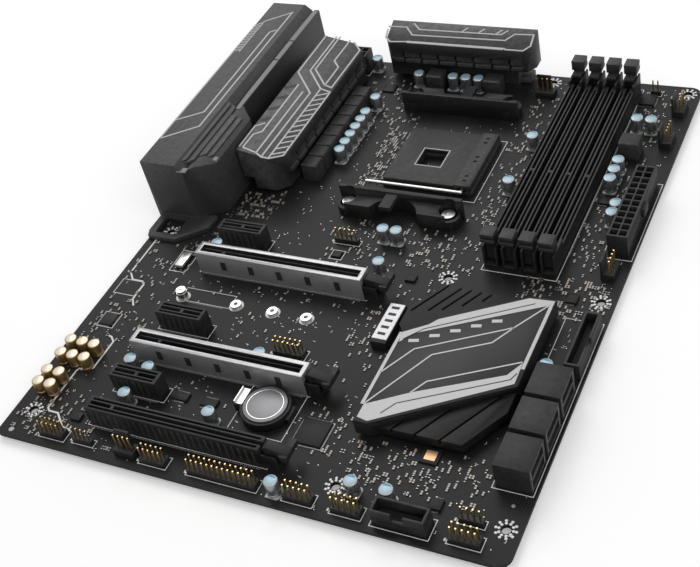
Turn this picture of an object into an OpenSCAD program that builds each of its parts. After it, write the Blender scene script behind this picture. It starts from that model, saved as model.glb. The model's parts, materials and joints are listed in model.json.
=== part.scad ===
// Full-size ATX computer motherboard: a populated circuit board, laid flat.
// Board frame: X from the rear (port) edge to the front edge, Y from the header
// edge to the CPU edge, Z up from the board's top face.

/* [Board] */
// Width of the board, rear edge to front edge
board_w = 243.84; // [236:0.01:300]
// Length of the board, header edge to CPU edge
board_l = 304.8; // [300:0.01:370]
// Thickness of the board
board_t = 1.6; // [1.2:0.1:2.4]
// Corner radius on the rear side
corner_r = 3; // [1:0.5:5]
// Corner radius on the front side
front_corner_r = 6; // [1:0.5:8]
// Diameter of the chassis screw holes
hole_d = 3.96; // [3.2:0.02:4.2]
// Length of the solder tails below the board
tail_h = 2; // [1.6:0.1:2.6]
// Diameter of a solder tail
tail_d = 1.6; // [1:0.1:2]

/* [Rear ports and cover] */
// How far the ports stand out behind the board's rear edge
rear_reach = 4; // [3.8:0.1:6]
// Height of the cover above the board
cover_h = 36; // [34.5:0.5:42]
// Length of the cover along the rear edge
cover_l = 152; // [150:1:156]
// Width of the cover's main channel
cover_w = 29.5; // [28:0.5:30]
// Wall thickness of the cover
cover_wall = 1.4; // [1:0.1:2]
// Depth of the ports from their face
port_depth = 20; // [16:0.5:21]

/* [Cooling] */
// Width of the left heatsink
hs_left_w = 25.4; // [22:0.2:26]
// Length of the left heatsink
hs_left_l = 107; // [90:1:108]
// Height of the left heatsink at its high edge
hs_left_h = 26.6; // [22:0.2:30]
// Depth of the top heatsink
hs_top_w = 14; // [11:0.5:14]
// Length of the top heatsink
hs_top_l = 85; // [70:1:86]
// Height of the top heatsink at its high edge
hs_top_h = 29.3; // [24:0.2:34]
// Height of the chipset heatsink
hs_chip_h = 10; // [8:0.5:14]
// Thickness of a thermal pad
pad_t = 0.8; // [0.5:0.1:1.2]

/* [Power parts] */
// Side of a choke
choke_w = 8.4; // [7:0.1:8.6]
// Depth of a choke
choke_d = 9.2; // [8:0.1:9.6]
// Height of a choke
choke_h = 10; // [6:0.2:11]
// Diameter of a polymer capacitor
cap_d = 6.3; // [5:0.1:6.6]
// Height of a polymer capacitor
cap_h = 8.8; // [6:0.2:10.6]
// Diameter of an audio capacitor
audio_cap_d = 6; // [4:0.1:6.2]
// Height of an audio capacitor
audio_cap_h = 7; // [5:0.2:9]

/* [Memory slots] */
// Distance between memory slots
dimm_pitch = 9.25; // [8.4:0.05:9.6]
// Width of a memory slot
dimm_w = 7; // [6:0.1:8]
// Height of a memory slot's beam
dimm_h = 9; // [7:0.1:11]
// Width of the card groove
dimm_gap = 1.5; // [1.3:0.1:2]
// Radius of a latch's pivot pin
dimm_pin_r = 1; // [0.8:0.1:1.3]
// Height of a latch above the board
dimm_latch_h = 20; // [17:0.5:23]

/* [Expansion slots] */
// Distance between neighbouring slots
pcie_pitch = 20.32; // [18:0.01:24]
// Width of an expansion slot
pcie_w = 7.5; // [6.5:0.1:9]
// Height of an expansion slot
pcie_h = 11.25; // [9:0.05:13]
// Length of a long slot
pcie_long = 89; // [85:0.5:89]
// Length of a short slot
pcie_short = 25; // [20:0.5:32]
// Thickness of the steel shield
shield_t = 0.5; // [0.3:0.1:0.8]

/* [Processor socket] */
// Width of the socket along X
socket_w = 49; // [46:0.5:52]
// Length of the socket along Y
socket_l = 43.5; // [40:0.5:50]
// Travel of the sliding cover
slide_travel = 1.3; // [1:0.1:1.6]
// Diameter of the lever's wire
lever_d = 1.8; // [1.4:0.1:2]
// Distance between cooler screws along X
cooler_x = 54; // [50:0.5:58]
// Distance between cooler screws along Y
cooler_y = 90; // [86:0.5:96]
// Diameter of the cooler screws
cooler_screw_d = 3.2; // [2.8:0.1:3.4]

/* [Battery] */
// Diameter of the coin cell
battery_d = 20; // [16:0.5:24]
// Thickness of the coin cell
battery_t = 3.2; // [1.6:0.1:4]
// Gap round the coin cell
battery_gap = 0.3; // [0.2:0.05:0.6]

/* [Headers] */
// Distance between header pins
pin_pitch = 2.54; // [2:0.01:2.6]
// Side of a header pin
pin_w = 0.64; // [0.5:0.02:0.8]
// Height of a header pin above the board
pin_h = 8.6; // [7:0.1:11]
// Height of a header's plastic base
base_h = 2.5; // [1.5:0.1:3]

/* [Hidden] */
$fn = 40;
fit = 0.3;          // gap left between neighbouring pieces
run = 0.06;         // radial clearance of a pin in its bore
eps = 0.05;         // lift of a sliding face off its seat

// Places measured from the far edges, so they follow the board's size
function fx(d) = board_w - d;
function ty(d) = board_l - d;

// Chassis holes: three columns and three rows
hole_x = [10.16, 165.1, board_w - 6.35];
hole_y = [16.51, 140.97, board_l - 6.35];
far_hole_x = 33.02;

// Processor zone, measured from the CPU edge
cpu_x = 124.9;
cpu_y = ty(82.5);
socket_x0 = cpu_x - 18.4;
socket_y0 = cpu_y - 23.8;
socket_base_h = 2.7;
socket_plate_h = 5.2;
socket_cam_h = 6.2;
cam_w = 9.5;
lever_x = socket_x0 + socket_w - cam_w / 2 - 0.3;
lever_z = 3.4;
lever_arm = 52;
bracket_l = cooler_x + 12;
bracket_d = 11.6;
bracket_h = 12;
boss_r = cooler_screw_d / 2 + 0.6;

// Memory zone
dimm_x = fx(61.64);
dimm_y0 = ty(152.3);
dimm_y1 = ty(7.8);
tower_l = 12.5;
latch_w = dimm_w - 2.4;
pivot_y = 4.2;
pivot_z = 4.6;

// Expansion zone
pcie_x = 42.9;
pcie_y = 20.4;
latch_x = pcie_x + pcie_long + 3.2;
pcie_pivot_z = 4.2;
pcie_latch_w = 4.6;

// Cooling zone
hs_left_x = 35.2;
hs_left_y = ty(123.4);
hs_top_x = 72.2;
hs_top_y = ty(14.3);
mosfet_h = 1.2;
seat_z = mosfet_h + pad_t;

// Chipset zone
chip_x = fx(51.4);
chip_y = 86;

// Battery
batt_x = 119;
batt_y = 44.5;
batt_z = 1.8;

pcb_color = [0.09, 0.09, 0.10];
black = [0.07, 0.07, 0.075];
dark = [0.13, 0.13, 0.14];
steel = [0.72, 0.73, 0.74];
gold = [0.80, 0.64, 0.36];

// Moves the board frame so that the origin is the middle of the part's footprint
module place() {
    translate([-(board_w - rear_reach) / 2, -board_l / 2, board_t + tail_h]) children();
}

// Box from a low corner and a size
module box(at, size) { translate(at) cube(size); }

// Upright cylinder at a place
module post(x, y, z, r, h) { translate([x, y, z]) cylinder(r = r, h = h); }

// Cylinder along X, centred on its place
module pin_x(at, r, l) { translate([at[0] - l / 2, at[1], at[2]]) rotate([0, 90, 0]) cylinder(r = r, h = l); }

// Cylinder along Y, centred on its place
module pin_y(at, r, l) { translate([at[0], at[1] + l / 2, at[2]]) rotate([90, 0, 0]) cylinder(r = r, h = l); }

// ---------------------------------------------------------------- board

module board_outline() {
    union() {
        translate([corner_r, corner_r]) square([board_w - corner_r - front_corner_r, board_l - 2 * corner_r]);
        translate([0, corner_r]) square([corner_r + 1, board_l - 2 * corner_r]);
        translate([board_w - front_corner_r - 1, front_corner_r])
            square([front_corner_r + 1, board_l - 2 * front_corner_r]);
        translate([corner_r, 0]) square([board_w - corner_r - front_corner_r, board_l]);
        for (y = [corner_r, board_l - corner_r]) translate([corner_r, y]) circle(r = corner_r);
        for (y = [front_corner_r, board_l - front_corner_r])
            translate([board_w - front_corner_r, y]) circle(r = front_corner_r);
    }
}

// Every chassis hole's place: full rows, with the CPU edge's first hole moved in
function chassis_holes() = concat(
    [for (x = hole_x, y = [hole_y[0], hole_y[1]]) [x, y]],
    [[far_hole_x, hole_y[2]], [hole_x[1], hole_y[2]], [hole_x[2], hole_y[2]]]);

function cooler_holes() = [for (sx = [-1, 1], sy = [-1, 1]) [cpu_x + sx * cooler_x / 2, cpu_y + sy * cooler_y / 2]];

module pcb() {
    place() color(pcb_color) difference() {
        translate([0, 0, -board_t]) linear_extrude(board_t) board_outline();
        for (h = chassis_holes()) post(h[0], h[1], -board_t - 1, hole_d / 2, board_t + 2);
        for (h = cooler_holes()) post(h[0], h[1], -board_t - 1, boss_r + fit, board_t + 2);
        for (h = screw_places()) post(h[0], h[1], -board_t - 1, spring_screw_r + fit, board_t + 2);
    }
}

module tail(x, y) {
    translate([x, y, -board_t - tail_h]) cylinder(d = tail_d, h = tail_h, $fn = 8);
}

module solder_tails() {
    place() color("silver") {
        for (y = [ty(148), ty(128), ty(110), ty(92), ty(70), ty(50), ty(30), ty(8)]) {
            tail(3, y);
            tail(14, y);
        }
        for (x = [24, 44, 66, 85, 104, 130, 150, 178, 198, 224]) tail(x, 6.6);
        for (y = [ty(131), ty(84)], x = [fx(4.9), fx(9.5)]) tail(x, y);
        for (i = [0:3], y = [dimm_y0 + 10, dimm_y1 - 10]) tail(dimm_x + i * dimm_pitch, y);
        for (i = [0:2]) tail(fx(12), 42.8 + i * 19.1);
        for (i = [0:2]) tail(pcie_x + pcie_long + 4, pcie_y + [0, 2, 5][i] * pcie_pitch);
    }
}

// ---------------------------------------------------------------- heatsink screws

spring_screw_r = 1.25;
function screw_places() = [
    [hs_left_x + 8, hs_left_y + 5], [hs_left_x + 14, hs_left_y + hs_left_l - 6],
    [hs_top_x + 6, hs_top_y + 7], [hs_top_x + hs_top_l - 7, hs_top_y + 7],
    [chip_x - 18, chip_y + 22], [chip_x + 18, chip_y - 22]];

// Shouldered screws put in from below, into the feet of the heatsinks
module heatsink_screws() {
    place() color("silver") for (h = screw_places()) {
        post(h[0], h[1], -board_t - 1.5, 2.4, 1.5);
        post(h[0], h[1], -board_t - 0.5, spring_screw_r, board_t + 2.5);
    }
}

module screw_bores() {
    for (h = screw_places()) post(h[0], h[1], -1, spring_screw_r, 3);
}

// ---------------------------------------------------------------- processor socket

module cpu_backplate() {
    plate_x = cooler_x + 12;
    plate_y = cooler_y + 12;
    place() color(steel) difference() {
        union() {
            box([cpu_x - plate_x / 2, cpu_y - plate_y / 2, -board_t - tail_h + 0.2],
                [plate_x, plate_y, tail_h - 0.2]);
            for (h = cooler_holes()) post(h[0], h[1], -board_t - 0.5, boss_r, board_t + 0.5);
        }
        box([cpu_x - 17, cpu_y - 17, -board_t - tail_h], [34, 34, tail_h + 1]);
        for (sy = [-1, 1]) box([cpu_x - 20, cpu_y + sy * 32 - 8, -board_t - tail_h], [40, 16, tail_h + 1]);
        for (h = cooler_holes()) post(h[0], h[1], -board_t - tail_h - 1, cooler_screw_d / 2, board_t + tail_h + 2);
    }
}

// Cooler bracket at one side of the socket; the wall stands on the socket's side
module cpu_bracket() {
    lug_r = 6;
    difference() {
        union() {
            for (s = [-1, 1]) post(s * cooler_x / 2, 0, 0, lug_r, 5.5);
            box([-bracket_l / 2, bracket_d - lug_r - 2.2, 0], [bracket_l, 2.2, bracket_h]);
            intersection() {
                box([-cooler_x / 2, -lug_r + 0.4, 0], [cooler_x, bracket_d - 1, bracket_h]);
                difference() {
                    box([-cooler_x / 2, -lug_r + 0.4, 0], [cooler_x, bracket_d - 1, 8.5]);
                    translate([0, -lug_r - 4, -3]) cylinder(r = 13.5, h = 20);
                }
            }
            box([-6.6, -lug_r - 1, bracket_h - 3.4], [6.2, bracket_d + 1, 2.4]);
        }
        for (s = [-1, 1]) {
            post(s * cooler_x / 2, 0, -1, cooler_screw_d / 2 + 0.2, 20);
            post(s * cooler_x / 2, 0, 3.6, 4.4, 20);
        }
    }
}

module cpu_bracket_lower() {
    place() color(black) translate([cpu_x, cpu_y - cooler_y / 2, 0]) cpu_bracket();
}

module cpu_bracket_upper() {
    place() color(black) translate([cpu_x, cpu_y + cooler_y / 2, 0]) rotate([0, 0, 180]) cpu_bracket();
}

module cpu_bracket_screws() {
    place() color(steel) for (h = cooler_holes()) {
        difference() {
            post(h[0], h[1], 3.6, 3.3, 2.6);
            post(h[0], h[1], 5, 1.2, 2);
        }
        post(h[0], h[1], -board_t - tail_h + 0.6, cooler_screw_d / 2, board_t + tail_h + 3.2);
    }
}

module socket_window(z, h) {
    box([cpu_x - 4.6, cpu_y - 10, z], [13, 12.6, h]);
}

module cpu_socket_base() {
    place() color(dark) difference() {
        box([socket_x0, socket_y0, 0], [socket_w, socket_l, socket_base_h]);
        socket_window(-1, 9);
        box([lever_x - lever_d / 2 - fit, socket_y0 - 1, lever_z - lever_d / 2 - fit], [lever_d + 2 * fit, socket_l - 2, 4]);
    }
}

module cpu_socket_slide() {
    z0 = socket_base_h + eps;
    cam_x = socket_x0 + socket_w - cam_w;
    place() color(dark) difference() {
        union() {
            box([socket_x0 + 0.6, socket_y0 + 0.4, z0], [socket_w - cam_w, socket_l - 0.8, socket_plate_h - z0]);
            box([cam_x, socket_y0, z0], [cam_w - 0.6, socket_l, socket_cam_h - z0]);
        }
        socket_window(0, 9);
        // Channel over the crank, long enough for the cover's travel
        box([lever_x - lever_d / 2 - fit - slide_travel, socket_y0 - 1, 0],
            [lever_d + 2 * fit + slide_travel, socket_l - 2, lever_z + lever_d / 2 + fit]);
        for (row = [-1, 0, 1], pair = [-1, 1])
            box([lever_x - 1, socket_y0 + socket_l / 2 + row * 15.5 + pair * 1.8 - 0.6, socket_cam_h - 0.6], [1.8, 1.2, 1]);
    }
}

module cpu_socket_lever() {
    r = lever_d / 2;
    arm_y = socket_y0 - 1.9;
    place() color(steel) {
        translate([lever_x, arm_y, lever_z]) rotate([-90, 0, 0]) cylinder(r = r, h = socket_l - 2);
        translate([lever_x, arm_y, lever_z]) sphere(r = r);
        translate([lever_x - lever_arm, arm_y, lever_z]) rotate([0, 90, 0]) cylinder(r = r, h = lever_arm);
        translate([lever_x - lever_arm, arm_y, lever_z]) sphere(r = r);
    }
}

// ---------------------------------------------------------------- memory slots

// One slot seen along Y: beam with a card groove, and a fork for the latch at each end
module dimm_slot(i) {
    x = dimm_x + i * dimm_pitch;
    beam_y0 = dimm_y0 + tower_l;
    beam_l = dimm_y1 - dimm_y0 - 2 * tower_l;
    key_y = dimm_y0 + 61;
    place() color(black) difference() {
        union() {
            box([x - dimm_w / 2, dimm_y0, 0], [dimm_w, dimm_y1 - dimm_y0, 1.2]);
            box([x - dimm_w / 2, beam_y0, 0], [dimm_w, beam_l, dimm_h]);
            for (y = [dimm_y0, dimm_y1 - tower_l], s = [-1, 1])
                box([x + s * (dimm_w / 2 - 0.5) - 0.5, y, 0], [1, tower_l, dimm_h + 3]);
            for (y = [beam_y0 - 2.6, dimm_y1 - tower_l]) box([x - dimm_w / 2, y, 0], [dimm_w, 2.6, dimm_h]);
        }
        difference() {
            box([x - dimm_gap / 2, beam_y0 - 3, 2.4], [dimm_gap, beam_l + 6, dimm_h]);
            box([x - dimm_gap, key_y, 0], [2 * dimm_gap, 1.6, dimm_h]);
        }
        for (s = [-1, 1]) box([x + s * 2.15 - 0.55, beam_y0 + 1, dimm_h - 2.2], [1.1, beam_l - 2, 3]);
        for (y = [dimm_y0 + pivot_y, dimm_y1 - pivot_y]) pin_x([x, y, pivot_z], dimm_pin_r + run, dimm_w + 2);
    }
}

// Latch profile in the Y-Z plane round its pivot, with the outside towards -Y
module latch_profile() {
    top = dimm_latch_h - pivot_z;
    circle(r = 2.5);
    polygon([[-2.5, 0], [2.5, 0], [2.9, 6], [4.1, 7.2], [4.1, 8.6], [1.6, 9.4], [1.8, top],
        [-4.9, top], [-4.9, top - 1.8], [-4.3, top - 2.1], [-4.3, top - 3.4], [-4.9, top - 3.7],
        [-4.9, top - 5], [-2.4, top - 6.2]]);
}

module dimm_latch(i, far) {
    x = dimm_x + i * dimm_pitch;
    head_z = dimm_latch_h - pivot_z - 5.4;
    y = far ? dimm_y1 - pivot_y : dimm_y0 + pivot_y;
    place() color(dark) translate([x, y, pivot_z]) rotate([0, 0, far ? 180 : 0]) union() {
        translate([-latch_w / 2, 0, 0]) rotate([90, 0, 90]) linear_extrude(latch_w) latch_profile();
        translate([-dimm_w / 2 + 0.2, 0, 0]) rotate([90, 0, 90]) linear_extrude(dimm_w - 0.4)
            intersection() {
                latch_profile();
                translate([-10, max(head_z, dimm_h + 3.3 - pivot_z)]) square([20, 20]);
            }
        pin_x([0, 0, 0], dimm_pin_r, dimm_w - 0.2);
    }
}

module dimm_slot_1() { dimm_slot(0); }
module dimm_slot_2() { dimm_slot(1); }
module dimm_slot_3() { dimm_slot(2); }
module dimm_slot_4() { dimm_slot(3); }
module dimm_latch_1_near() { dimm_latch(0, false); }
module dimm_latch_2_near() { dimm_latch(1, false); }
module dimm_latch_3_near() { dimm_latch(2, false); }
module dimm_latch_4_near() { dimm_latch(3, false); }
module dimm_latch_1_far() { dimm_latch(0, true); }
module dimm_latch_2_far() { dimm_latch(1, true); }
module dimm_latch_3_far() { dimm_latch(2, true); }
module dimm_latch_4_far() { dimm_latch(3, true); }

// ---------------------------------------------------------------- expansion slots

// Slot body with a card groove and its key; a long one also has the latch's fork
module pcie_slot(y, l, fork) {
    key = 12.4;
    difference() {
        union() {
            box([pcie_x, y - pcie_w / 2, 0], [l, pcie_w, pcie_h]);
            if (fork) {
                box([pcie_x + l - 1, y - pcie_w / 2, 0], [8.5, pcie_w, 1.2]);
                for (s = [-1, 1]) box([pcie_x + l - 1, y + s * (pcie_w / 2 - 0.5) - 0.5, 0], [8.5, 1, 8]);
            }
        }
        difference() {
            box([pcie_x + 1.6, y - 0.95, 3], [l - 1.6 + (fork ? 1 : -1.6), 1.9, pcie_h]);
            box([pcie_x + key, y - 2, 0], [1.7, 4, pcie_h]);
        }
        for (s = [-1, 1]) box([pcie_x + 1.6, y + s * 2.2 - 0.55, pcie_h - 2], [l - 3.2, 1.1, 3]);
        if (fork) pin_y([latch_x, y, pcie_pivot_z], 1 + run, pcie_w + 2);
    }
}

module shield(y) {
    t = shield_t;
    color(steel) difference() {
        box([pcie_x - t - 0.1, y - pcie_w / 2 - t - 0.1, 0.3], [pcie_long + 2 * t + 0.2, pcie_w + 2 * t + 0.2, pcie_h + 1.3]);
        box([pcie_x - 0.1, y - pcie_w / 2 - 0.1, -1], [pcie_long + 0.2, pcie_w + 0.2, pcie_h + 1.1 + 1 - 0.05]);
        box([pcie_x + 1.4, y - pcie_w / 2 + 1.4, 0], [pcie_long - 2.8, pcie_w - 2.8, 30]);
        box([pcie_x + pcie_long - 2, y - pcie_w / 2 + 0.4, -1], [9, pcie_w - 0.8, 9.6]);
        for (s = [-1, 1]) box([pcie_x + pcie_long - 2, y + s * (pcie_w / 2 - 0.5) - 0.7, -1], [9, 1.4, 9.4]);
    }
}

// Latch lever in the X-Z plane round its pivot: a nose for the card and a thumb paddle
module pcie_latch(y) {
    place() color(black) translate([latch_x, y, pcie_pivot_z]) union() {
        rotate([90, 0, 0]) translate([0, 0, -pcie_latch_w / 2]) linear_extrude(pcie_latch_w) union() {
            circle(r = 2.2);
            polygon([[-2.2, 0], [2.2, 0], [3, 2.6], [9.6, 3.2], [9.6, 6.4], [3.2, 7.4], [-0.6, 8.2],
                [-2.4, 6.8], [-1.6, 5]]);
        }
        translate([6.2, -pcie_w / 2, 3.3]) cube([3.6, pcie_w + 3, 2.9]);
        pin_y([0, 0, 0], 1, pcie_w - 0.4);
    }
}

function slot_y(n) = pcie_y + n * pcie_pitch;
module pcie_x16_slot_1() { place() color(black) pcie_slot(slot_y(5), pcie_long, true); }
module pcie_x16_slot_2() { place() color(black) pcie_slot(slot_y(2), pcie_long, true); }
module pcie_x16_slot_3() { place() color(black) pcie_slot(slot_y(0), pcie_long, true); }
module pcie_latch_1() { pcie_latch(slot_y(5)); }
module pcie_latch_2() { pcie_latch(slot_y(2)); }
module pcie_latch_3() { pcie_latch(slot_y(0)); }
module pcie_shield_1() { place() shield(slot_y(5)); }
module pcie_shield_2() { place() shield(slot_y(2)); }
module pcie_x1_slots() {
    place() color(black) for (n = [1, 3, 6]) pcie_slot(slot_y(n), pcie_short, false);
}

// ---------------------------------------------------------------- chipset

chip_w = 29.7;

// Cover plate: a leaning four-sided plate with a stepped upper edge
module chip_outline() {
    polygon([[chip_x - chip_w, chip_y - 43.2], [chip_x - 23, chip_y - 43.2], [chip_x + chip_w, chip_y - 8.7],
        [chip_x + chip_w, chip_y + 42.7], [chip_x + 17.8, chip_y + 42], [chip_x - 16.8, chip_y + 20.4],
        [chip_x - 19.8, chip_y + 16], [chip_x - chip_w, chip_y + 9]]);
}

// Finned base, which stands out past the plate at its upper left and lower right
module chip_base_outline() {
    polygon([[chip_x - 29, chip_y - 40], [chip_x - 25, chip_y - 41], [chip_x + 17, chip_y - 41],
        [chip_x + 29, chip_y - 20.3], [chip_x + 29, chip_y + 41.5], [chip_x - 23.6, chip_y + 44.5],
        [chip_x - 34.4, chip_y + 26], [chip_x - 34.4, chip_y + 16], [chip_x - 29, chip_y + 9]]);
}

// Slanted grooves between the base's fins: start point and length
chip_grooves = [[-32, 24.6, 24], [-24.4, 26.4, 22], [-18.4, 28.2, 20], [-10.6, 32.6, 16], [-2.8, 37.4, 12],
    [-14, -42, 14], [-3.5, -42, 24], [7.5, -42, 34]];

module chipset() {
    place() color([0.1, 0.14, 0.12]) {
        box([chip_x - 11, chip_y - 11, 0], [22, 22, 0.9]);
        box([chip_x - 5, chip_y - 5, 0.9], [10, 10, 0.7]);
    }
}

module chipset_heatsink() {
    die_top = 1.6;
    place() color(black) difference() {
        union() {
            difference() {
                translate([0, 0, die_top + 0.4]) linear_extrude(hs_chip_h - 3.4 - die_top - 0.4) chip_base_outline();
                for (g = chip_grooves) translate([chip_x + g[0], chip_y + g[1], hs_chip_h - 6.4])
                    rotate([0, 0, 60]) cube([g[2], 1, 5]);
            }
            translate([0, 0, die_top + 0.4]) linear_extrude(hs_chip_h - 0.8 - die_top - 0.4) chip_outline();
            box([chip_x - 6, chip_y - 6, die_top], [12, 12, 2]);
            for (h = [screw_places()[4], screw_places()[5]]) post(h[0], h[1], 0, 3.2, 3);
        }
        screw_bores();
    }
}

module chipset_badge() {
    place() color([0.2, 0.2, 0.22]) translate([0, 0, hs_chip_h - 0.8]) linear_extrude(0.8) chip_outline();
}

// ---------------------------------------------------------------- power stage

choke_x = 62;
choke_y = ty(109.8);
choke_pitch = choke_w + 0.67;
choke_n = 8;

// Profile of the left heatsink in X-Z, extruded along the row of power stages
module vrm_heatsink_left() {
    x = hs_left_x;
    y = hs_left_y;
    w = hs_left_w;
    l = hs_left_l;
    low = hs_left_h - 5;
    place() color(dark) difference() {
        union() {
            intersection() {
                translate([0, y + l, 0]) rotate([90, 0, 0]) linear_extrude(l) polygon([[x, 9], [x, hs_left_h],
                    [x + w - 0.4, low], [x + w, low - 1.6], [x + w + 0.9, low - 5.4], [x + w + 0.9, low - 7.6],
                    [x + w - 0.6, low - 8], [x + w + 0.9, low - 9], [x + w + 0.9, low - 11],
                    [x + w - 1.4, low - 11.4], [x + w - 1.4, seat_z], [x + 6, seat_z], [x + 6, 9]]);
                linear_extrude(60) polygon([[x, y], [x + w - 7.4, y], [x + w + 1.2, y + 7.6],
                    [x + w + 1.2, y + l - 6], [x + w - 6, y + l], [x, y + l]]);
            }
            for (h = [screw_places()[0], screw_places()[1]]) post(h[0], h[1], 0, 3, 3);
        }
        for (k = [0:8]) translate([x + w - 1.2, y + 13 + k * 10.6, low - 11.4]) rotate([0, 0, 25]) cube([4, 1.3, 7]);
        screw_bores();
    }
}

// Profile of the top heatsink in Y-Z, extruded along X
module vrm_heatsink_top() {
    x = hs_top_x;
    y = hs_top_y;
    w = hs_top_w;
    l = hs_top_l;
    low = hs_top_h - 5.3;
    place() color(dark) difference() {
        union() {
            intersection() {
                translate([x, 0, 0]) rotate([90, 0, 90]) linear_extrude(l) polygon([[y + w, 9], [y + w, hs_top_h],
                    [y + 0.4, low], [y, low - 1.6], [y - 0.9, low - 6.4], [y - 0.9, low - 8.6],
                    [y + 0.6, low - 9], [y - 0.9, low - 10], [y - 0.9, low - 12], [y + 1.4, low - 12.4],
                    [y + 1.6, seat_z], [y + w - 2, seat_z], [y + w - 2, 9]]);
                linear_extrude(60) polygon([[x, y + 2.4], [x + 3.8, y - 1.2], [x + l - 5.6, y - 1.2], [x + l, y + 7],
                    [x + l, y + w], [x, y + w]]);
            }
            for (h = [screw_places()[2], screw_places()[3]]) post(h[0], h[1], 0, 3, 3);
        }
        for (k = [0:6]) translate([x + 10 + k * 10.4, y - 2.4, low - 12.4]) rotate([0, 0, 60]) cube([4, 1.3, 7]);
        // The front end overhangs its screw lug
        box([x + l - 9, y - 2, 5], [20, w + 4, 5]);
        box([x + l - 3, y - 2, -1], [20, w + 4, 7]);
        box([x + l - 9, y - 2, -1], [20, 5.5, 7]);
        screw_bores();
    }
}

module mosfets() {
    place() color(black) {
        for (k = [0:7]) box([hs_left_x + 10, choke_y + k * choke_pitch + 1.2, 0], [6, 5, mosfet_h]);
        for (k = [0:7]) box([hs_left_x + 18, choke_y + k * choke_pitch + 1.2, 0], [6, 5, mosfet_h]);
        for (k = [0:3]) box([hs_top_x + 22 + k * 11, hs_top_y + 3, 0], [5, 6, mosfet_h]);
    }
}

module thermal_pads() {
    place() color([0.5, 0.55, 0.6]) {
        box([hs_left_x + 9, choke_y, mosfet_h], [hs_left_w - 11, choke_n * choke_pitch, pad_t]);
        box([hs_top_x + 20, hs_top_y + 2.6, mosfet_h], [42, 7, pad_t]);
    }
}

// Moulded choke with chamfered top edges
module choke(x, y, w, d) {
    c = 0.5;
    translate([x, y, 0]) hull() {
        cube([w, d, choke_h - c]);
        translate([c, c, 0]) cube([w - 2 * c, d - 2 * c, choke_h]);
    }
}

module chokes() {
    place() color([0.16, 0.16, 0.17]) {
        for (k = [0:choke_n - 1]) choke(choke_x, choke_y + k * choke_pitch, choke_d, choke_w);
        for (x = [98, 131.6]) choke(x, ty(23.7), choke_d, choke_w);
        choke(fx(26.6), ty(64.4), choke_d + 0.8, choke_w + 0.8);
    }
}

// Centres of the polymer capacitors: along the power stage, round the sockets and by the slots
vrm_caps = [for (k = [0:5]) [76, ty(91.4) + k * 6.75], [76, ty(44)]];
row_caps = [for (k = [0:2]) [112.4 + k * 7.5, ty(19.1)], [92.1, ty(19.1)], [61.4, ty(8.2)]];
cpu_caps = [[125.2, ty(146)], [132.2, ty(146)], [172.9, ty(99.4)], [172.9, ty(63)]];
edge_caps = [[fx(23.5), ty(40.6)], [fx(16.4), ty(40.6)], [fx(23.5), ty(74.6)], [fx(23.5), ty(82)],
    [fx(23.5), ty(89)], [fx(15.7), ty(106.2)], [fx(15.7), ty(112.8)]];
slot_caps = [[142.5, 6.3], [174, 15.5], [189.5, 15.5], [54, 31.7], [98, 32], [56.4, 48.4],
    [103.6, 69], [132.7, 136.6], [228.6, 93.4], [45.2, 50.6], [46, 131.5]];
function cap_places() = concat(vrm_caps, row_caps, cpu_caps, edge_caps, slot_caps);

module polymer_capacitors() {
    place() color([0.78, 0.8, 0.82]) for (p = cap_places()) translate([p[0], p[1], 0]) {
        box([-cap_d / 2, -cap_d / 2, 0], [cap_d, cap_d, 0.8]);
        translate([0, 0, 0.8]) cylinder(d = cap_d - 0.1, h = cap_h - 0.8);
    }
}

module audio_capacitors() {
    place() color(gold) for (p = audio_places()) post(p[0], p[1], 0, audio_cap_d / 2, audio_cap_h);
}
function audio_places() = [for (r = [0:3], c = [0:2]) if (r > 1 || c < 2)
    [7 + c * 6.8, [28.2, 35.6, 46.8, 55.4][r]]];

// ---------------------------------------------------------------- rear ports and cover

cover_x0 = -rear_reach + 0.4;
cover_y0 = ty(cover_l + 0.8);

module cover_plan(inset) {
    x1 = cover_x0 + cover_w;
    y0 = cover_y0;
    polygon([[cover_x0 - (inset > 0 ? 5 : 0), y0 + inset], [x1 - 4.5 - inset * 0.4, y0 + inset],
        [x1 + 8 - inset, y0 + 12.5 + inset * 0.6], [x1 + 8 - inset, y0 + 50 - inset * 0.4],
        [x1 - inset, y0 + 58 - inset * 0.4], [x1 - inset, y0 + cover_l - inset],
        [cover_x0 - (inset > 0 ? 5 : 0), y0 + cover_l - inset]]);
}

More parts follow.
